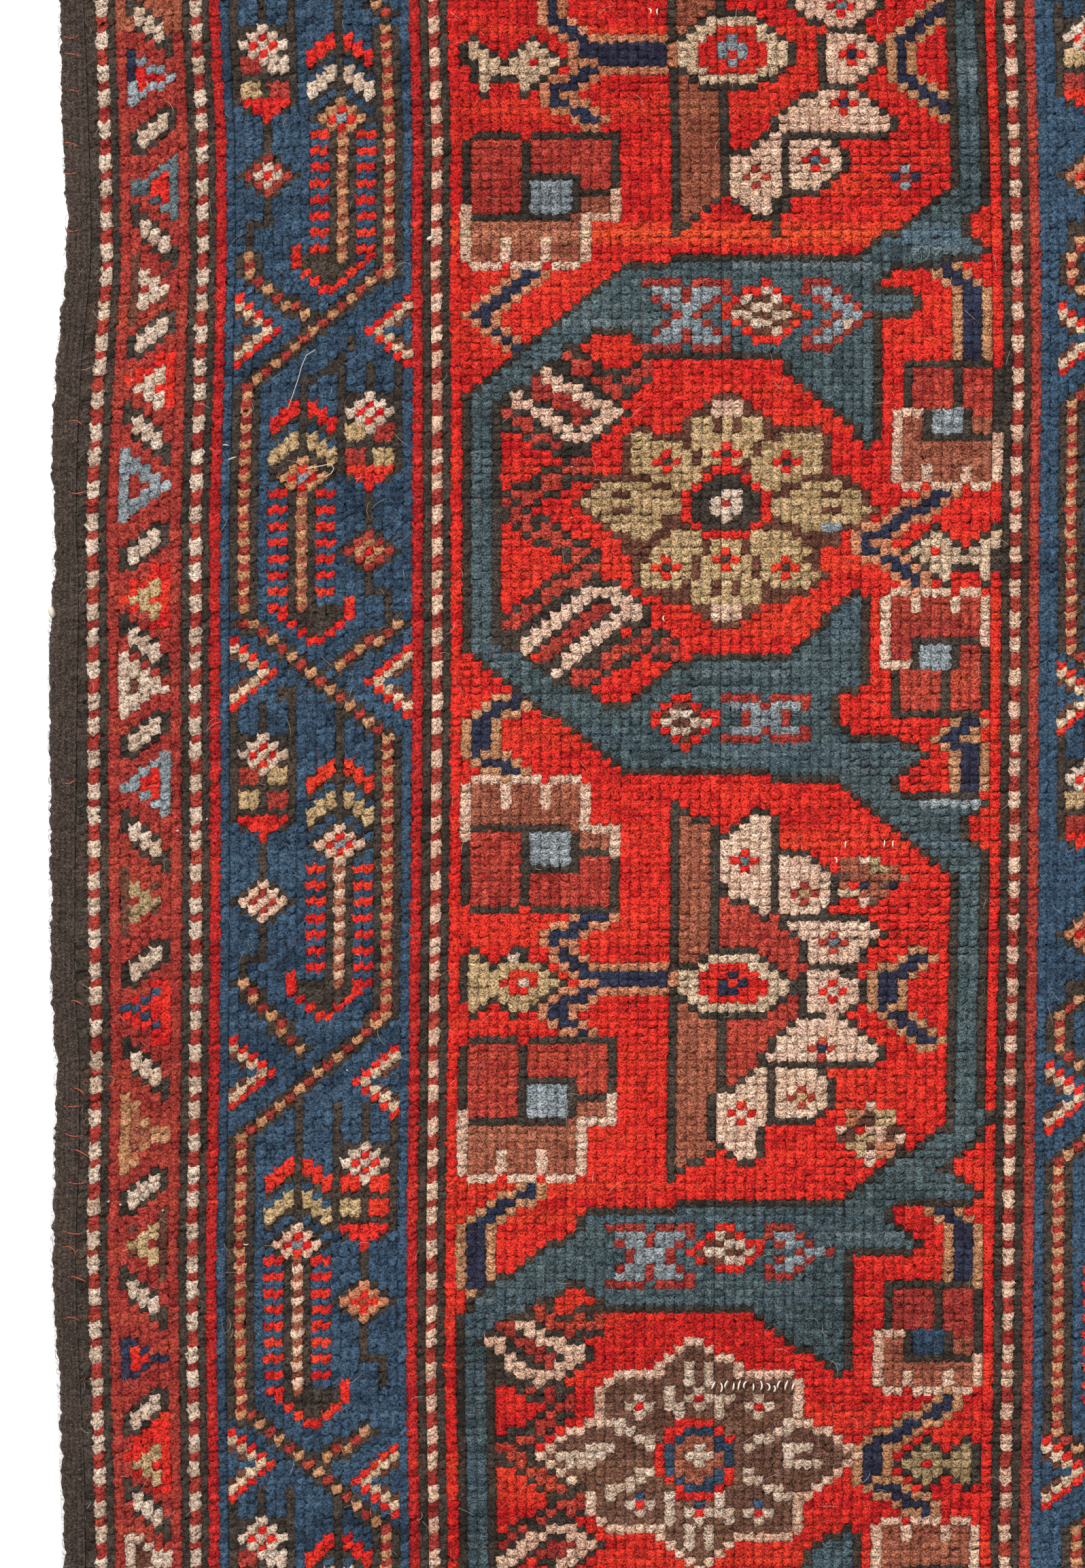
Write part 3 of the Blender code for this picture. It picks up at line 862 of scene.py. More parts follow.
# a patch mended in wools that didn't quite match
mendedPatch = [(85.3, 105.2), (88.8, 104.8), (91.3, 106.3), (91.8, 108.6), (89.6, 110.5), (85.6, 110.2)]
mended = {
    "orange": shapeKnots(mendedPatch),
    "bar": [(86, 107), (88, 107), (89, 107), (91, 107), (86, 106), (88, 109)],
    "cream": [(85, 109), (86, 109)],
    "olive": [(88, 106), (89, 106), (88, 105)],
    "pink": [(87, 110), (87, 105)],
    "navy": [(87, 108), (90, 108)],
    "madder": [(90, 109), (89, 105), (91, 108), (86, 108)],
    "plum": [(88, 110), (89, 108), (85, 107)],
}
for dye, places in mended.items():
    paint(places, dye)


# Wool
def linear(code):
    # an sRGB hex colour as linear light
    parts = [int(code[place:place + 2], 16) / 255 for place in (1, 3, 5)]
    return (*[part / 12.92 if part <= 0.04045 else ((part + 0.055) / 1.055) ** 2.4 for part in parts], 1.0)


def addNode(tree, kind, values=None, links=None, **settings):
    # a node with its sockets' values, the outputs linked to them, and its own settings
    node = tree.nodes.new(kind)
    for name, value in settings.items():
        setattr(node, name, value)
    for socket, value in (values or {}).items():
        node.inputs[socket].default_value = value
    for socket, source in (links or {}).items():
        tree.links.new(source, node.inputs[socket])
    return node


woolLook = {
    "strand": 2.1,         # strands that show across one knot's height; the real ones are four times as many
    "curl": 0.20,          # how far strands sag at a knot's sides
    "wander": 1.3,         # mm, size of the wool's unevenness
    "fibre": 0.75,         # mm between fibre bundles; real ones are 0.05, drawn coarser so that they show
    "fibreRun": 2.4,       # mm, how long a bundle runs before it turns under
    "fibreDeep": 2.5,      # mm, how far down a bundle goes
    "fluff": 1.15,         # mm, clumps of cut ends
    "grain": 0.7,          # mm, single tufts; drawn coarser than the real 0.2
    "streaksAndShade": (0.20, 1.86),       # how dark the wool is drawn between strands and how light on them: painted shade and painted highlight, with the tufts' own uneven tone
    "gapShade": 0.34,      # painted shade: how dark the wool's colour is made deep between knots
    "bumpHeight": 0.0015,  # m
    "bareWeft": "#40332a",
}


def makeWool(name, dark, light, odd, streaksAndShade=woolLook["streaksAndShade"]):
    # hand-spun wool, vegetable dyed and knotted: matt, streaked by its own strands with painted highlight on
    # them and painted shade between them, and painted shade deep between knots
    material = bpy.data.materials.new(name)
    material.use_nodes = True
    tree = material.node_tree
    shader = tree.nodes["Principled BSDF"]
    place = addNode(tree, "ShaderNodeTexCoord").outputs["Object"]
    tone, paintedLight, worn, bare, batch = [addNode(tree, "ShaderNodeAttribute", attribute_name=kept).outputs["Fac"]
                                      for kept in ("tone", "paintedLight", "worn", "bare", "odd")]
    weavePlace = addNode(tree, "ShaderNodeUVMap", uv_map="weave").outputs[0]
    knotPlace = addNode(tree, "ShaderNodeSeparateXYZ", None, {0: weavePlace}).outputs
    uneven = addNode(tree, "ShaderNodeTexNoise", {"Scale": 1000 / woolLook["wander"], "Detail": 2.0},
                     {"Vector": place}).outputs["Fac"]
    turn = addNode(tree, "ShaderNodeMath", {1: math.tau}, {0: knotPlace[0]}, operation="MULTIPLY").outputs[0]
    sag = addNode(tree, "ShaderNodeMath", None, {0: turn}, operation="COSINE").outputs[0]
    sagged = addNode(tree, "ShaderNodeMath", {1: woolLook["curl"]}, {0: sag, 2: knotPlace[1]},
                     operation="MULTIPLY_ADD").outputs[0]
    moved = addNode(tree, "ShaderNodeMath", {1: 1.3}, {0: uneven, 2: sagged},
                    operation="MULTIPLY_ADD").outputs[0]
    phase = addNode(tree, "ShaderNodeMath", {1: math.tau * woolLook["strand"]}, {0: moved},
                    operation="MULTIPLY").outputs[0]
    wave = addNode(tree, "ShaderNodeMath", None, {0: phase}, operation="SINE").outputs[0]
    strand = addNode(tree, "ShaderNodeMath", {1: 0.20, 2: 0.5}, {0: wave},
                     operation="MULTIPLY_ADD").outputs[0]
    along = (1000 / woolLook["fibreRun"], 1000 / woolLook["fibre"], 1000 / woolLook["fibreDeep"])
    stretched = addNode(tree, "ShaderNodeMapping", {"Scale": along}, {"Vector": place}).outputs[0]
    fibreNoise = {"Scale": 1.0, "Detail": 4.0, "Roughness": 0.7, "Distortion": 0.8}
    fibres = addNode(tree, "ShaderNodeTexNoise", fibreNoise, {"Vector": stretched}).outputs["Fac"]
    tuftNoise = {"Detail": 3.0, "Roughness": 0.7}
    clumps, grain = [addNode(tree, "ShaderNodeTexNoise", {"Scale": 1000 / woolLook[kind]} | tuftNoise,
                             {"Vector": place}).outputs["Fac"] for kind in ("fluff", "grain")]
    combed = addNode(tree, "ShaderNodeMix", {"Factor": 0.55}, {"A": strand, "B": fibres}).outputs["Result"]
    tufted = addNode(tree, "ShaderNodeMix", {"Factor": 0.55}, {"A": clumps, "B": grain}).outputs["Result"]
    loose = addNode(tree, "ShaderNodeMapRange", {"To Min": 0.72, "To Max": 0.42},
                    {"Value": worn}).outputs["Result"]
    wool = addNode(tree, "ShaderNodeMix", None, {"Factor": loose, "A": combed, "B": tufted}).outputs["Result"]
    abrash = addNode(tree, "ShaderNodeTexNoise", {"Scale": 28.0, "Detail": 2.0},
                     {"Vector": place}).outputs["Fac"]
    patchy = addNode(tree, "ShaderNodeMath", {1: 0.5, 2: -0.1}, {0: abrash},
                     operation="MULTIPLY_ADD").outputs[0]
    toneHere = addNode(tree, "ShaderNodeMath", {1: 0.7}, {0: tone, 2: patchy}, operation="MULTIPLY_ADD",
                       use_clamp=True).outputs[0]
    dyed = addNode(tree, "ShaderNodeMix", {"A": linear(dark), "B": linear(light)}, {"Factor": toneHere},
                   data_type="RGBA").outputs["Result"]
    mixed = addNode(tree, "ShaderNodeMix", {"B": linear(odd)}, {"Factor": batch, "A": dyed},
                    data_type="RGBA").outputs["Result"]
    thin = addNode(tree, "ShaderNodeMix", {"B": linear(woolLook["bareWeft"])}, {"Factor": bare, "A": mixed},
                   data_type="RGBA").outputs["Result"]
    # painted highlight on the strands and painted shade between them, with the fibres' and tufts' own uneven
    # tone
    streakShadeRange = {"From Min": 0.42, "From Max": 0.58, "To Min": streaksAndShade[0], "To Max": streaksAndShade[1]}
    streakAndShade = addNode(tree, "ShaderNodeMapRange", streakShadeRange, {"Value": wool}).outputs["Result"]
    # painted shade: the wool's colour is darkened where it lies deep between knots, in grooves and on walls
    shadeRange = {"From Min": 0.05, "From Max": 0.8, "To Min": woolLook["gapShade"], "To Max": 1.0}
    shadeHere = addNode(tree, "ShaderNodeMapRange", shadeRange, {"Value": paintedLight}).outputs["Result"]
    level = addNode(tree, "ShaderNodeMath", None, {0: streakAndShade, 1: shadeHere}, operation="MULTIPLY").outputs[0]
    colour = addNode(tree, "ShaderNodeVectorMath", None, {0: thin, "Scale": level},
                     operation="SCALE").outputs[0]
    tree.links.new(colour, shader.inputs["Base Color"])
    bump = addNode(tree, "ShaderNodeBump", {"Strength": 1.0, "Distance": woolLook["bumpHeight"]},
                   {"Height": wool})
    tree.links.new(bump.outputs[0], shader.inputs["Normal"])
    shader.inputs["Roughness"].default_value = 0.92
    shader.inputs["IOR"].default_value = 1.55           # keratin
    shader.inputs["Specular IOR Level"].default_value = 0.15
    shader.inputs["Sheen Weight"].default_value = 0.12   # soft light along the fibres' sides
    shader.inputs["Sheen Roughness"].default_value = 0.5
    shader.inputs["Sheen Tint"].default_value = linear(light)
    return material


woolMaterials = [makeWool("Wool_" + name, look["dark"], look["light"], look["odd"])
                 for name, look in wools.items()]
bulkOf = np.array([wools[name]["bulk"] for name in dyeNames])
print("wool dyed in", len(wools), "colours")

# Where each knot lies
chance = np.random.default_rng(7)


def columnX(column):
    # x of any column, before the warps' lean
    return weave["columnZero"] + column * weave["knotWidth"]


def placeKnots(columns, rows):
    # the rug's own x and y of any column and row; the first column starts at the seam
    lastEven = weave["rowZero"] - weave["evenRows"] * weave["knotHeight"]
    y = np.interp(rows, [weave["firstRow"], 0, weave["evenRows"], lastEdge],
                  [topEnd, weave["rowZero"], lastEven, -topEnd])
    first = weave["firstColumn"]
    seam = sideAt(topEnd - y, "seam")
    firstRight = columnX(first + 1) + leanAt(np.full(np.shape(columns), first + 1.0), rows)
    x = columnX(columns) + leanAt(columns, rows)
    return np.where(columns < first + 1, seam + (firstRight - seam) * (columns - first), x), y


def smoothNoise(shape, cell, rng):
    # soft patches: random numbers on a coarse grid, blended
    rows, columns = shape
    coarse = rng.random((rows // cell[0] + 3, columns // cell[1] + 3))
    down, across = np.arange(rows) / cell[0], np.arange(columns) / cell[1]
    r0, c0 = down.astype(int), across.astype(int)
    fr, fc = ease(down - r0)[:, None], ease(across - c0)[None, :]
    top = coarse[r0][:, c0] * (1 - fc) + coarse[r0][:, c0 + 1] * fc
    low = coarse[r0 + 1][:, c0] * (1 - fc) + coarse[r0 + 1][:, c0 + 1] * fc
    return top * (1 - fr) + low * fr


shape = chart.shape
abrash = 0.45 * smoothNoise(shape, (2, 60), chance) + 0.3 * smoothNoise(shape, (9, 14), chance)
abrash = abrash + 0.25 * smoothNoise(shape, (1, 9), chance)
knotTone = np.clip(0.12 + 0.76 * abrash + chance.normal(0, 0.27, shape), 0, 1)
knotLift = chance.normal(0, 1, shape)
knotShift = chance.normal(0, 1, (2, *shape))
columnNumbers, rowNumbers = np.meshgrid(np.arange(weave["firstColumn"], weave["lastColumn"] + 1),
                                        np.arange(weave["firstRow"], lastEdge))

# knot tone made darker or lighter over listed fields of rows and columns: darker at the top and foot of the
# main border, lighter in its middle, at its right side and at the cut side
toneFields = [
    {"rows": (-3, 14), "columns": (46, 100), "tone": -0.33},
    {"rows": (14, 24), "columns": (46, 100), "tone": -0.24},
    {"rows": (24, 31), "columns": (46, 66), "tone": -0.40},
    {"rows": (14, 24), "columns": (46, 66), "tone": -0.16},
    {"rows": (24, 62), "columns": (46, 100), "tone": -0.07},
    {"rows": (62, 95), "columns": (46, 100), "tone": 0.06},
    {"rows": (95, 145), "columns": (46, 100), "tone": 0.13},
    {"rows": (31, 196), "columns": (95, 100), "tone": 0.10},
    {"rows": (160, 196), "columns": (46, 52), "tone": -0.30},
    {"rows": (160, 196), "columns": (50, 100), "tone": -0.18},
    {"rows": (-3, 196), "columns": (104, 113), "tone": 0.28},
]
for field in toneFields:
    (top, bottom), (left, right) = field["rows"], field["columns"]
    within = (rowNumbers >= top) & (rowNumbers < bottom) & (columnNumbers >= left) & (columnNumbers < right)
    knotTone = np.clip(knotTone + within * field["tone"], 0, 1)

# thin courses of another batch of wool; two of them, in the main border, are coral
oddBatch = np.clip(smoothNoise(shape, (2, 24), chance) * 1.5 - 0.85, 0, 1) * 0.5 + chance.random(shape) * 0.10
inMain = (columnNumbers > 45) & (columnNumbers < 97)
for row, share in ((28, 0.75), (29, 0.45)):
    oddBatch = np.where((rowNumbers == row) & inMain, share, oddBatch)

# where the wear goes down to the wefts: all over at random, and most in a few patches
wornPatches = [
    {"column": 90, "row": 107, "wide": 9, "tall": 8, "much": 0.55},
    {"column": 70, "row": 17, "wide": 22, "tall": 3, "much": 0.25},
    {"column": 76, "row": 29, "wide": 18, "tall": 2, "much": 0.35},
    {"column": 58, "row": 60, "wide": 9, "tall": 12, "much": 0.2},
    {"column": 92, "row": 22, "wide": 5, "tall": 12, "much": 0.2},
    {"column": 84, "row": 142, "wide": 14, "tall": 4, "much": 0.25},
]
bareKnots = smoothNoise(shape, (12, 10), chance) * 0.6 + chance.random(shape) * 0.5 - 0.2
for patch in wornPatches:
    across, down = (columnNumbers - patch["column"]) / patch["wide"], (rowNumbers
                                                                       - patch["row"]) / patch["tall"]
    bareKnots = bareKnots + patch["much"] * np.exp(-across ** 2 - down ** 2)
bareKnots = np.clip(bareKnots, 0, 1)

# In pairs, the first is for the side borders and the second for the worn main border
pile = {
    "steps": (0.0, 0.15, 0.5, 0.85),          # where a knot's corners lie, from one line to the next
    "hillAcross": (0.0, 0.82, 1.0, 0.82),     # and how high the knot stands there
    "hillDown": (0.0, 0.84, 1.0, 0.76),
    "sink": 0.00035,                          # how far the wool stays under the CAD's top
    "gap": (0.00100, 0.00095),                # how deep the gaps between knots are
    "lift": 0.00020,                          # how far knots differ in height
    "rough": (0.00034, 0.00018),              # how uneven their tops are
    "bulk": 0.00060, "middleBulk": 0.45,      # how far the fullest dye stands over the lowest
    "splay": 0.00060,                         # how far a bright knot leans over a dark one
    "shift": 0.00036,                         # how far a knot's middle wanders
    "ragged": 0.00036,                        # how uneven the line between two knots is
    "columnLine": (0.54, 0.27),               # how high the wool stands on the lines between knots
    "rowLine": (0.64, 0.48), "lineNoise": 0.14,
    "corner": (0.34, 0.16), "cornerNoise": 0.08,
    "sameDye": 0.06,                          # and how much higher where both knots are of one dye
    "apart": 0.12,                            # how much deeper the lines are between full, bright knots
    "slant": (0.0015, 0.0005),                # how far a knot's loop rises to the right
    "scallop": 0.00080,                       # how far a knot's loop hangs down at its middle
    "bareFrom": 0.56, "bareDrop": 0.00040,    # how worn a bare weft is, and how far it lies under the pile
    "lowest": 0.0006,                         # wool that is always left over the ground
    "joint": 0.0012,                          # how far a band's joined sides stay under the top
}


def byWear(name, worn):
    # a setting of the pile that changes from the side borders to the main border
    side, main = pile[name]
    return side + (main - side) * worn


def makeMesh(name, points, quads, slots, extra=None, extraSlot=0):
    # one mesh from arrays of corners and four-sided faces, with one many-sided face if there is one
    loops = quads.ravel()
    starts = np.arange(0, loops.size, 4)
    if extra is not None:
        starts = np.append(starts, loops.size)
        loops = np.append(loops, extra)
        slots = np.append(slots, extraSlot)
    mesh = bpy.data.meshes.new(name)
    mesh.vertices.add(len(points))
    mesh.vertices.foreach_set("co", points.astype(np.float32).ravel())
    mesh.loops.add(loops.size)
    mesh.loops.foreach_set("vertex_index", loops.astype(np.int32))
    mesh.polygons.add(len(starts))
    mesh.polygons.foreach_set("loop_start", starts.astype(np.int32))
    mesh.polygons.foreach_set("material_index", slots.astype(np.int32))
    mesh.update(calc_edges=True)
    mesh.shade_smooth()
    piece = bpy.data.objects.new(name, mesh)
    bpy.context.scene.collection.objects.link(piece)
    return piece


def addValues(piece, name, values, domain="POINT"):
    piece.data.attributes.new(name, "FLOAT", domain).data.foreach_set("value", values.astype(np.float32))


def weaveMap(piece, columns, rows):
    # each corner's place in knots, which the wool's strands follow
    mesh = piece.data
    corners = np.zeros(len(mesh.loops), np.int32)
    mesh.loops.foreach_get("vertex_index", corners)
    places = np.stack([columns, rows], 1)[corners]
    mesh.uv_layers.new(name="weave").data.foreach_set("uv", places.astype(np.float32).ravel())


def flatMap(piece, box, spare=None):
    # the bake map: the top as seen from above, stretched to fill the square; the rest lies below it
    mesh = piece.data
    corners = np.zeros(len(mesh.loops), np.int32)
    mesh.loops.foreach_get("vertex_index", corners)
    points = np.zeros(len(mesh.vertices) * 3, np.float32)
    mesh.vertices.foreach_get("co", points)
    points = points.reshape(-1, 3)[corners]
    left, low, right, high = box
    across, up = (points[:, 0] - left) / (right - left), (points[:, 1] - low) / (high - low)
    uv = np.stack([0.01 + 0.98 * across, 0.02 + 0.97 * up], 1)
    if spare is not None:
        uv[spare:] = uv[spare:] * [1.0, 0.008]       # walls and undersides: a thin line at the bottom
    layer = mesh.uv_layers.new(name="OFBake")
    layer.data.foreach_set("uv", np.clip(uv, 0, 1).astype(np.float32).ravel())


def rimOf(index):
    # the outline of a grid of corners, once round
    return np.concatenate([index[:, 0], index[-1, 1:], index[-2::-1, -1], index[0, -2:0:-1]])


def gridQuads(index):
    return np.stack([index[:-1, :-1], index[1:, :-1], index[1:, 1:], index[:-1, 1:]], -1).reshape(-1, 4)


def wallsFrom(index, points, level):
    # walls from a grid's rim to a level: the rim, the points the walls end on, their numbers, and the faces
    rim = rimOf(index)
    ends = points[rim].copy()
    ends[:, 2] = level
    endIndex = np.arange(len(rim)) + len(points)
    walls = np.stack([rim, endIndex, np.roll(endIndex, -1), np.roll(rim, -1)], -1)
    return rim, ends, endIndex, walls


def withRim(values, rim, atEnd=None):
    # values at a grid's corners and at its walls' ends, which have the rim's values or one of their own
    values = values.ravel()
    return np.concatenate([values, values[rim] if atEnd is None else np.full(len(rim), atEnd)])


def knotsAt(columns, rows, first, last):
    # the course and the stand of the knot that each corner belongs to, and where in the knot it lies
    wholeColumns, wholeRows = np.floor(columns + 1e-6), np.floor(rows + 1e-6)
    course = np.clip(wholeRows.astype(int), weave["firstRow"], weave["lastRow"]) - weave["firstRow"]
    stand = np.clip(wholeColumns.astype(int), first, last) - weave["firstColumn"]
    return course, stand, np.round(columns - wholeColumns, 3), np.round(rows - wholeRows, 3)


def bandGrid(first, last):
    # all corners of a band of pile: where they lie, in which knot, how worn, and on which lines
    columns = np.append((np.arange(first, last + 1)[:, None] + pile["steps"]).ravel(), last + 1)
    rows = np.append((np.arange(weave["firstRow"], lastEdge)[:, None] + pile["steps"]).ravel(), lastEdge)
    columns, rows = np.meshgrid(columns, rows)
    course, stand, across, down = knotsAt(columns, rows, first, last)
    x, y = placeKnots(columns, rows)
    west, north = chart[course, np.maximum(stand - 1, 0)], chart[np.maximum(course - 1, 0), stand]
    return {
        "first": first, "columns": columns, "rows": rows, "course": course, "stand": stand, "across": across,
        "x": x, "y": y, "station": topEnd - y, "worn": wornAt(x),
        "onColumn": across < 0.01, "onRow": down < 0.01,
        "hillAcross": np.interp(across, pile["steps"], pile["hillAcross"]),
        "hillDown": np.interp(down, pile["steps"], pile["hillDown"]),
        "dye": chart[course, stand], "westDye": west, "northDye": north,
        "noise": np.random.default_rng(first).normal(0, 1, (4, *x.shape)),
    }


def standKnots(grid):
    # how far each corner stands up in its knot, from 0 to 1, how bare it is worn, and its height
    worn, noise, onColumn, onRow = grid["worn"], grid["noise"], grid["onColumn"], grid["onRow"]
    hillAcross, hillDown = grid["hillAcross"], grid["hillDown"]
    bulk = bulkOf[grid["dye"]]
    full = np.where(onColumn, (bulk + bulkOf[grid["westDye"]]) / 2, bulk)
    full = np.where(onRow, (bulk + bulkOf[grid["northDye"]]) / 2, full)
    columnLine = byWear("columnLine", worn) + pile["lineNoise"] * noise[3] - pile["apart"] * full
    columnLine = columnLine + pile["sameDye"] * (grid["dye"] == grid["westDye"])
    rowLine = byWear("rowLine", worn) + pile["lineNoise"] * noise[3] - pile["apart"] * full
    rowLine = rowLine + pile["sameDye"] * (grid["dye"] == grid["northDye"])
    corner = byWear("corner", worn) + pile["cornerNoise"] * noise[3]
    hill = hillAcross * hillDown
    hill = np.where(onColumn & ~onRow, columnLine * hillDown, hill)      # neighbours in a row touch
    hill = np.where(onRow & ~onColumn, rowLine * hillAcross, hill)       # a weft lies between two rows
    hill = np.where(onRow & onColumn, corner, hill)
    bare = bareKnots[grid["course"], grid["stand"]] + noise[1] * 0.08 - pile["bareFrom"]
    bare = (onRow & ~onColumn) * np.clip(bare * 5, 0, 1) * worn
    hill = np.clip(hill * (1 - 0.8 * bare), 0, 1)
    z = pileTop(grid["x"], grid["station"]) - pile["sink"] - byWear("gap", worn) * (1 - hill)
    z = z + pile["bulk"] * (full - pile["middleBulk"]) * (1 - 0.35 * worn)
    z = z + pile["lift"] * knotLift[grid["course"], grid["stand"]] * hill
    z = z + byWear("rough", worn) * noise[2] * (0.4 + 0.6 * hill)
    return hill, bare, np.maximum(z - bare * pile["bareDrop"], cloth["ground"] + pile["lowest"])


def shiftKnots(grid):
    # sideways: knots wander, and full ones lean over low ones; the band's own edges stay
    hillAcross, hillDown, onColumn, onRow = [grid[name] for name in ("hillAcross", "hillDown", "onColumn",
                                                                     "onRow")]
    bulk, bulkWest, bulkNorth = [bulkOf[grid[name]] for name in ("dye", "westDye", "northDye")]
    wander = pile["shift"] * knotShift[:, grid["course"], grid["stand"]] * hillAcross * hillDown
    inBand = grid["stand"] > grid["first"] - weave["firstColumn"]
    lean = (bulkWest - bulk) * pile["splay"] * (0.35 + 0.65 * hillDown)
    drop = (bulkNorth - bulk) * pile["splay"] * 0.6 * (0.35 + 0.65 * hillAcross)
    dx = np.where(onColumn & inBand, lean, 0) + pile["ragged"] * grid["noise"][0] * np.where(onColumn, 1, 0.4)
    dy = -np.where(onRow, drop, 0) + pile["ragged"] * grid["noise"][1] * np.where(onRow, 1, 0.4)
    dx, dy = dx + wander[0], dy + 0.8 * wander[1] - pile["scallop"] * (hillAcross - 0.55)
    dy = dy + byWear("slant", grid["worn"]) * (grid["across"] - 0.5) * ~onColumn
    inside = np.zeros(dx.shape)
    inside[1:-1, 1:-1] = 1
    return grid["x"] + dx * inside, grid["y"] + dy * inside


def makeBand(name, first, last):
    # a length of pile between two columns of knots, as one closed mesh
    grid = bandGrid(first, last)
    hill, bare, z = standKnots(grid)
    x, y = shiftKnots(grid)
    for side, column in ((0, first), (-1, last)):
        if column not in (weave["firstColumn"], weave["lastColumn"]):      # joined to the next band
            z[:, side] = pileTop(x[:, side], grid["station"][:, side]) - pile["joint"]
    if first == weave["firstColumn"]:
        x[:, 0] -= cloth["seamGap"] * 0.75       # the pile's side leans on the selvedge
        # less painted shade on the first column, next to the selvedge
        hill[:, 0] = 0.8
    index = np.arange(x.size).reshape(x.shape)
    quads = gridQuads(index)
    points = np.stack([x.ravel(), y.ravel(), z.ravel()], -1)
    # walls down to the ground weave, all the way round, and the underside
    rim, low, lowIndex, walls = wallsFrom(index, points, cloth["ground"] * 0.8)
    course, stand = grid["course"], grid["stand"]
    slots, tones, batches = [np.append(values[course, stand][:-1, :-1], values[course, stand].ravel()[rim])
                             for values in (chart, knotTone, oddBatch)]
    batches[len(quads):] = 0
    piece = makeMesh(name, np.concatenate([points, low]), np.concatenate([quads, walls]), slots,
                     lowIndex[::-1], dyeNumber["charcoal"])
    # painted shade: the colour is darkened where the wool stands low between knots, and most on the walls
    addValues(piece, "paintedLight", withRim(np.clip(hill * 0.9 + 0.1, 0, 1), rim, 0.1))
    addValues(piece, "worn", withRim(grid["worn"], rim))
    addValues(piece, "bare", withRim(bare, rim, 0.0))
    addValues(piece, "tone", np.append(tones, 0.5), "FACE")
    addValues(piece, "odd", np.append(batches, 0.0), "FACE")
    for material in woolMaterials:
        piece.data.materials.append(material)
    flatMap(piece, (x.min(), y.min(), x.max(), y.max()), len(quads) * 4)
    weaveMap(piece, withRim(grid["columns"], rim), withRim(grid["rows"], rim))
    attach(piece, "root")
    return piece


bands = [
    makeBand("pile_outer_border", 8, 22),
    makeBand("pile_blue_border", 23, 43),
    makeBand("pile_main_left", 44, 72),
    makeBand("pile_main_right", 73, 99),
    makeBand("pile_inner_border", 100, 112),
]
print("pile knotted:", knotRows * knotColumns, "knots")

# Ground weave, with the knots' backs below
groundWeave = {
    "backDepth": 0.00028,          # how far the lines between the knots' backs lie up from the floor
    "lineShade": 0.25,             # painted shade on these lines: how much light they are drawn as getting
    "lineBare": 0.5,               # how much bare weft they show
}


def makeGround():
    # a closed mat with the knots' backs as low rounds on its underside
    first, last = weave["firstColumn"], weave["lastColumn"]
    halfRows = np.arange(weave["firstRow"] * 2, lastEdge * 2 + 1) / 2
    columnGrid, rowGrid = np.meshgrid(np.arange(first, last + 2).astype(float), halfRows)
    x, y = placeKnots(columnGrid, rowGrid)
    onLine = (np.round(rowGrid * 2).astype(int) % 2 == 0)
    index = np.arange(x.size).reshape(x.shape)
    low = np.stack([x, y, onLine * groundWeave["backDepth"]], -1).reshape(-1, 3)
    quads = gridQuads(index)[:, ::-1]
    rim, high, topIndex, walls = wallsFrom(index, low, cloth["ground"])
    course, stand = [part[:-1, :-1] for part in knotsAt(columnGrid, rowGrid, first, last)[:2]]
    undyed = len(dyeNames)                         # the material after the dyes
    slots = np.append(chart[course, stand], np.full(len(walls), undyed))
    piece = makeMesh("ground_weave", np.concatenate([low, high]),
                     np.concatenate([quads, walls[:, [1, 0, 3, 2]]]), slots, topIndex, undyed)
    spare = np.full(len(walls) + 1, 0.5)
    # painted shade on the lines between the knots' backs and on the walls
    addValues(piece, "paintedLight", withRim(np.where(onLine, groundWeave["lineShade"], 1.0), rim, 0.6))
    addValues(piece, "bare", withRim(onLine * groundWeave["lineBare"], rim, 0.0))
    addValues(piece, "worn", np.ones(len(low) + len(high)))
    addValues(piece, "tone", np.append(knotTone[course, stand], spare), "FACE")
    addValues(piece, "odd", np.append(oddBatch[course, stand], 0 * spare), "FACE")
    for material in woolMaterials:
        piece.data.materials.append(material)
    piece.data.materials.append(makeWool("Undyed_warp_wool", "#a8977c", "#d0bfa2", "#b8a888"))
    flatMap(piece, (x.min(), y.min(), x.max(), y.max()), len(quads) * 4)
    weaveMap(piece, withRim(columnGrid, rim), withRim(rowGrid, rim))
    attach(piece, "root")
    return piece


ground = makeGround()
for piece in bands + [ground]:
    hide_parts("pile_cloth")
print("ground woven")

# Selvedge
selvedge = {
    "cords": 5, "crest": 0.0045, "groove": 0.0039,
    "outerSide": 0.0013, "innerSide": 0.0044,      # how high the band is at its two sides
    "outerRound": 0.22, "innerRound": 0.10,        # and how much of its width they take to get there
    "wrap": 0.00085,       # one turn of the yarn; the real one is 0.6 mm, drawn coarser so that it shows
    "wrapDepth": 0.00018, "columns": 30,
    "scallop": 0.00052,    # how uneven the outer side is
    "lumps": 190, "tufts": 520,                    # unevennesses along the outer side, large and small
    "slant": 0.00035,      # how far the turns lean over each cord
    "wanders": 300, "wander": 0.0003,              # how often the turns stray along the band, and how far
    "drifts": 40, "drift": 0.06,                   # the same for the cords, as a share of the width
    "rough": 0.00012, "lowest": 0.0006,
}


def alongBand(station, count, rng, much=1.0):
    # a random line along the rug, with so many turning points
    return np.interp(station, np.linspace(0, cloth["length"], count), rng.normal(0, much, count))


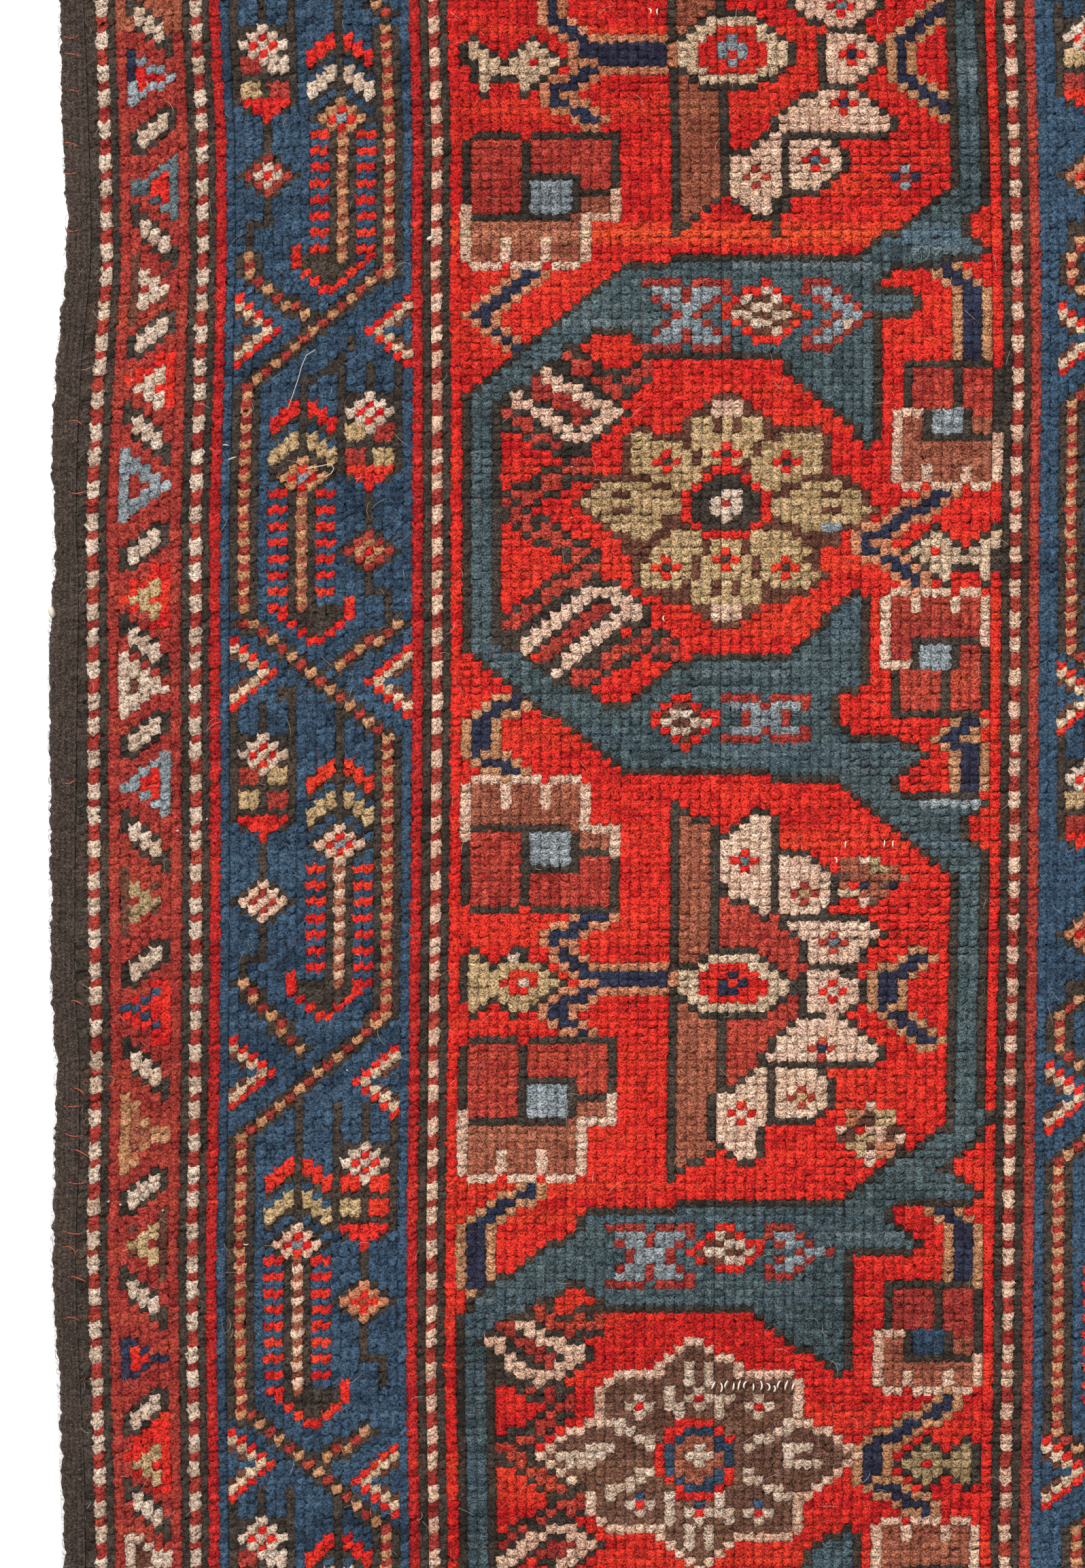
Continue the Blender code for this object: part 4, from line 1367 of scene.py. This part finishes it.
def makeSelvedge():
    # yarn wound over flat cords: ribs along the side, with a groove after each turn
    cords, turns = selvedge["cords"] - 0.5, int(cloth["length"] / selvedge["wrap"])
    station = np.linspace(0, cloth["length"], turns * 2 + 1)
    share, down = np.meshgrid(np.linspace(0, 1, selvedge["columns"] + 1), station)
    rng = np.random.default_rng(31)
    lumps = alongBand(station, selvedge["lumps"], rng)
    tufts = alongBand(station, selvedge["tufts"], rng)
    ragged = selvedge["scallop"] * (0.7 * lumps + 0.5 * tufts)
    outer = np.maximum(sideAt(station, "outer") + ragged, leftReach)
    seam = sideAt(station, "seam") - cloth["seamGap"]
    x = outer[:, None] + (seam - outer)[:, None] * share
    wander = alongBand(station, selvedge["wanders"], rng, selvedge["wander"])[:, None] * np.sin(3 * share)
    y = topEnd - down
    y[1:-1] += (selvedge["slant"] * np.sin(math.pi * share * cords) + wander)[1:-1]
    y = np.clip(y, -topEnd, topEnd)
    drift = selvedge["drift"] * alongBand(station, selvedge["drifts"], rng)[:, None]
    cordHere = np.abs(np.sin(math.pi * cords * (share + 2 * drift * share * (1 - share))))
    z = selvedge["groove"] + (selvedge["crest"] - selvedge["groove"]) * cordHere ** 0.8
    z = selvedge["outerSide"] + (z - selvedge["outerSide"]) * rounded(share, selvedge["outerRound"])
    innerRise = rounded(1 - share, selvedge["innerRound"])
    z = np.minimum(z, selvedge["innerSide"] + (z - selvedge["innerSide"]) * innerRise)
    # every second row of corners lies in the groove after a turn of the yarn
    groove = np.where(np.arange(len(station)) % 2 == 0, 1.0, 0.0)[:, None]
    turn = np.minimum(np.arange(len(station)) // 2, turns)
    quarter = np.linspace(0, 3.99, x.shape[1]).astype(int)
    uneven = np.clip(rng.normal(1, 0.5, (turns + 1, 4)), 0, 2)[turn][:, quarter]
    z = z - selvedge["wrapDepth"] * groove * uneven + selvedge["rough"] * rng.normal(0, 1, z.shape)
    z = np.maximum(z, selvedge["lowest"])
    index = np.arange(z.size).reshape(z.shape)
    quads = gridQuads(index)
    points = np.stack([x, y, z], -1).reshape(-1, 3)
    rim, low, lowIndex, walls = wallsFrom(index, points, 0.0)
    faces = np.concatenate([quads, walls])
    piece = makeMesh("wound_selvedge", np.concatenate([points, low]), faces, np.zeros(len(faces)),
                     lowIndex[::-1])
    # painted shade: darker in the groove after each turn of the yarn, between the cords, and on the walls
    light = (1 - groove * 0.28 * uneven) * (0.72 + 0.28 * cordHere ** 0.6)
    addValues(piece, "paintedLight", withRim(np.clip(light, 0, 1), rim, 0.3))
    addValues(piece, "worn", np.full(len(points) + len(low), 0.6))
    addValues(piece, "bare", np.zeros(len(points) + len(low)))
    # each turn of the yarn has its own shade in each third of the band
    tall, wide = z.shape[0] - 1, z.shape[1] - 1
    turnTone = rng.random((turns + 1, 3))[turn[:-1]][:, np.arange(wide) * 3 // wide]
    tones = np.clip(turnTone * 0.7 + rng.random((tall, wide)) * 0.4 - 0.05, 0, 1)
    addValues(piece, "tone", np.append(tones, np.full(len(walls) + 1, 0.4)), "FACE")
    odd = rng.random(tones.shape) ** 3 * 0.6
    addValues(piece, "odd", np.append(odd, np.zeros(len(walls) + 1)), "FACE")
    material = makeWool("Goat_hair_charcoal", "#281f1b", "#54473f", "#6e6058", (0.40, 1.7))
    piece.data.materials.append(material)
    flatMap(piece, (x.min(), y.min(), x.max(), y.max()), len(quads) * 4)
    weaveMap(piece, withRim(selvedge["cords"] * share, rim), withRim(down / weave["knotHeight"], rim))
    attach(piece, "root")
    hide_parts("selvedge")


makeSelvedge()
print("selvedge wound")

# Loose hairs, wefts that show at the selvedge, bare warps
strayDyes = {"pale": "#dccdbb", "grey": "#8a7c72", "dark": "#2a211c", "red": "#b0563e", "warp": "#f2e8d6"}
strays = {
    "points": 6,                                      # along each fibre
    "hairs": 1500, "hairLong": (0.0025, 0.0075), "hairThick": (0.000025, 0.000045), "hairRise": 0.0006,
    "fuzz": 700, "fuzzLong": (0.0016, 0.0042), "fuzzThick": (0.00005, 0.00008), "fuzzRise": 0.0004,
    "curl": 1.3,                                      # how far a fibre turns along its length, in radians
    "onSelvedge": 0.0038,                             # how high they lie on the selvedge
}


def strayWool(name, code):
    # single fibres: matt, their own colour
    material = bpy.data.materials.new("Loose_wool_" + name)
    material.use_nodes = True
    shader = material.node_tree.nodes["Principled BSDF"]
    shader.inputs["Base Color"].default_value = linear(code)
    shader.inputs["Roughness"].default_value = 0.8
    return material


def topAt(x, y):
    # how high the rug stands at a place, pile or selvedge
    station = np.clip(topEnd - y, 0, cloth["length"])
    return np.where(x > sideAt(station, "seam"), pileTop(x, station), strays["onSelvedge"])


def makeStrays(name, paths, radii, slots):
    # many thin tubes as one mesh: paths in strands by points by three, radii in strands by points
    count, reach = paths.shape[:2]
    along = np.gradient(paths, axis=1)
    along[..., 2] = 0
    along = along / np.maximum(np.linalg.norm(along, axis=-1, keepdims=True), 1e-9)
    beside = np.stack([-along[..., 1], along[..., 0], 0 * along[..., 0]], -1)
    upward = np.array([0, 0, 1.0])
    corners = [(1, 0), (0, 1), (-1, 0), (0, -1)]
    rings = [paths + radii[..., None] * (side * beside + up * upward) for side, up in corners]
    rings = np.stack(rings, 2)
    index = np.arange(count * reach * 4).reshape(count, reach, 4)
    nextOne = np.roll(index, -1, axis=2)
    sides = np.stack([index[:, :-1], nextOne[:, :-1], nextOne[:, 1:], index[:, 1:]], -1).reshape(count, -1, 4)
    caps = np.stack([index[:, 0, ::-1], index[:, -1]], 1)
    quads = np.concatenate([sides, caps], 1)
    piece = makeMesh(name, rings.reshape(-1, 3), quads.reshape(-1, 4), np.repeat(slots, quads.shape[1]))
    for material in strayMaterials.values():
        piece.data.materials.append(material)
    flatMap(piece, (leftReach, -topEnd, rightCut, topEnd))
    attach(piece, "root")
    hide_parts("pile_cloth")


strayMaterials = {kind: strayWool(kind, code) for kind, code in strayDyes.items()}
strayNumber = {kind: number for number, kind in enumerate(strayDyes)}
rng = np.random.default_rng(5)


def curledPaths(x, y, length, heading, above):
    # gently curled fibres that lie on the wool
    share = np.linspace(-0.5, 0.5, strays["points"])
    bend = rng.normal(0, strays["curl"], len(x))
    angle = heading[:, None] + bend[:, None] * share
    step = length[:, None] / (strays["points"] - 1)
    px = (x - np.cos(heading) * length / 2)[:, None] + np.cumsum(np.cos(angle) * step, 1)
    py = (y - np.sin(heading) * length / 2)[:, None] + np.cumsum(np.sin(angle) * step, 1)
    px = np.clip(px, sideAt(np.clip(topEnd - py, 0, cloth["length"]), "outer") - 0.0004, rightCut)
    px, py = np.maximum(px, leftReach), np.clip(py, -topEnd, topEnd)
    return np.stack([px, py, topAt(px, py) + above[:, None] * (1 - (2 * share) ** 2)], -1)


def scatterHairs():
    # single hairs all over the pile
    count, more = strays["hairs"], strays["fuzz"]
    x = leftReach + 0.004 + (cloth["width"] - 0.006) * rng.random(count) ** 1.25   # more of them at the left
    y = (rng.random(count) - 0.5) * (cloth["length"] - 0.004)
    length = rng.uniform(*strays["hairLong"], count)
    heading, above = rng.uniform(0, math.pi, count), rng.uniform(0, strays["hairRise"], count)
    hairs = curledPaths(x, y, length, heading, above)
    # fuzz at the selvedge: short hairs that stand off both of its sides
    station = rng.random(more) * cloth["length"]
    outerHalf = rng.random(more) < 0.5
    inner = sideAt(station, "seam") + rng.normal(0, 0.0009, more)
    edge = np.where(outerHalf, sideAt(station, "outer") + 0.0006, inner)
    length = rng.uniform(*strays["fuzzLong"], more)
    heading, above = rng.normal(math.pi, 0.9, more), rng.uniform(0, strays["fuzzRise"], more)
    fuzz = curledPaths(edge, topEnd - station, length, heading, above)
    pale, grey, dark, red = [strayNumber[kind] for kind in ("pale", "grey", "dark", "red")]
    hairKinds = rng.choice([pale, grey, dark, red], count, p=[0.22, 0.33, 0.33, 0.12])
    fuzzKinds = rng.choice([grey, dark], more, p=[0.35, 0.65])
    thick = np.append(rng.uniform(*strays["hairThick"], count), rng.uniform(*strays["fuzzThick"], more))
    radii = thick[:, None] * np.array([0.5, 1, 1, 1, 1, 0.4])
    makeStrays("loose_hairs", np.concatenate([hairs, fuzz]), radii, np.append(hairKinds, fuzzKinds))


# Short lengths that lie on top, in knots: where, how long and wide in millimetres, and which way they point
flecks = []
for row in (3.7, 6.6, 10.9, 17.9, 20.8, 27.5, 52, 59.8, 95.3, 123.4, 134, 135.5, 138.8, 141.5, 144.5, 150.7,
            154, 157, 162):
    # red stitches over the selvedge
    flecks.append({"column": 7.2 + 0.35 * math.sin(row * 1.7), "row": row,
                   "long": 9 - 2.5 * math.sin(row) ** 2, "wide": 0.50, "turn": -6, "kind": "red"})
for column, row in ((65.8, 1.3), (66.8, 1.5), (89.7, 103.6), (90.7, 103.6), (84.7, 105.5), (85.8, 103.7),
                    (67.5, 75.8)):
    # pale warps in the worn places
    flecks.append({"column": column, "row": row, "long": 2.6, "wide": 0.55, "turn": 90, "kind": "warp"})
for step in range(13):
    # a row of knotted ends over the second rosette
    flecks.append({"column": 72.3 + 0.68 * step, "row": 170.1 + 0.2 * math.sin(step * 2.3),
                   "long": 3.3 + 0.6 * math.sin(step * 1.9), "wide": 0.66, "turn": 78, "kind": "warp"})
for column, row, long, wide, turn in (
    (22.8, 54.6, 2.4, 0.5, 10), (23.4, 56.3, 3.4, 0.5, 15), (43.5, 29.2, 2.6, 1.5, 20),
    (18, 101.8, 1.2, 0.6, 0),
    (21, 100.5, 1.0, 0.5, 40), (13.4, 46.6, 0.9, 0.4, 0), (58.0, 57.2, 0.9, 0.35, 0),
    (57.9, 63.5, 1.1, 0.35, 30), (24.9, 152.4, 2.2, 0.45, -10), (16.5, 148.4, 1.0, 0.5, 30),
    (5.2, 75.3, 4.4, 2.5, 105), (12.2, 147.6, 1.0, 0.7, 0), (11.0, 147.3, 0.9, 0.7, 60),
    (35.2, 131.2, 1.0, 0.5, 0),
):
    flecks.append({"column": column, "row": row, "long": long, "wide": wide, "turn": turn, "kind": "pale"})

# and two long pale hairs that have come loose in the blue border
longHairs = [
    {"wide": 0.26, "knots": [(32, 42.9), (31.1, 43.6), (30.6, 45), (30.3, 46.4), (29.8, 48.2), (29.2, 50.2)]},
    {"wide": 0.32, "knots": [(31, 57.5), (32.4, 57.2), (33.6, 56.9), (33.9, 57.5), (33.6, 58.1),
                             (33.0, 58.5)]},
]


def layFlecks():
    # the flecks and the two long hairs
    column, row, long, wide, turn = [np.array([entry[name] for entry in flecks], float)
                                     for name in ("column", "row", "long", "wide", "turn")]
    x, y = placeKnots(column - leanAt(column, row) / weave["knotWidth"], row)
    x = np.where(column < weave["firstColumn"] + 1, columnX(column), x)
    heading = np.radians(turn) + rng.normal(0, 0.12, len(flecks))
    paths = curledPaths(x, y, long / 1000, heading, np.full(len(flecks), 0.0005))
    radii = wide[:, None] / 2000 * np.array([0.4, 0.9, 1, 1, 0.9, 0.35])
    slots = [strayNumber[entry["kind"]] for entry in flecks]
    for hair in longHairs:
        column, row = np.array(hair["knots"]).T
        x, y = columnX(column), weave["rowZero"] - row * weave["knotHeight"]
        paths = np.concatenate([paths, np.stack([x, y, topAt(x, y) + 0.0004], -1)[None]])
        radii = np.concatenate([radii, np.full((1, strays["points"]), hair["wide"] / 2000)])
        slots.append(strayNumber["pale"])
    makeStrays("wefts_and_warps_that_show", paths, radii, np.array(slots))


scatterHairs()
layFlecks()
print("loose hairs laid")

# Floor, light and camera
view = {"frameHeight": 0.57675, "middle": (-0.01375, 0.0), "level": 0.006, "lens": 100.0}
floorMesh = bpy.data.meshes.new("floor")
floorMesh.from_pydata([(-4, -4, 0), (4, -4, 0), (4, 4, 0), (-4, 4, 0)], [], [(0, 1, 2, 3)])
floor = bpy.data.objects.new("floor", floorMesh)
bpy.context.scene.collection.objects.link(floor)
paper = bpy.data.materials.new("Matt_white_paper")   # seamless paper: no gloss, near white
paper.use_nodes = True
paper.node_tree.nodes["Principled BSDF"].inputs["Base Color"].default_value = linear("#f6f5f3")
paper.node_tree.nodes["Principled BSDF"].inputs["Roughness"].default_value = 0.95
floor.data.materials.append(paper)

world = bpy.data.worlds.new("studio")
bpy.context.scene.world = world
world.use_nodes = True
world.node_tree.nodes["Background"].inputs["Color"].default_value = (1.0, 1.0, 1.0, 1.0)
world.node_tree.nodes["Background"].inputs["Strength"].default_value = 0.335

lights = [
    {"name": "key", "place": (-1.9, 3.0, 3.6), "size": 1.3, "power": 282.0},      # from the upper left
    {"name": "fill", "place": (1.4, -1.8, 3.2), "size": 2.4, "power": 34.0},
]
for light in lights:
    lamp = bpy.data.lights.new(light["name"], "AREA")
    lamp.size, lamp.energy = light["size"], light["power"]
    holder = bpy.data.objects.new(light["name"], lamp)
    holder.location = light["place"]
    east, north, up = np.array([-0.0137, 0, 0]) - np.array(light["place"])
    holder.rotation_euler = (math.atan2(math.hypot(east, north), -up), 0,
                             math.atan2(north, east) - math.pi / 2)
    bpy.context.scene.collection.objects.link(holder)

lens = bpy.data.cameras.new("camera")
lens.lens = view["lens"]
camera = bpy.data.objects.new("camera", lens)
camera.location = (*view["middle"], view["level"] + view["frameHeight"] * view["lens"] / lens.sensor_width)
camera.rotation_euler = (0, 0, 0)
bpy.context.scene.collection.objects.link(camera)
bpy.context.scene.camera = camera
bpy.context.scene.view_settings.view_transform = "Standard"

print("light and camera set")
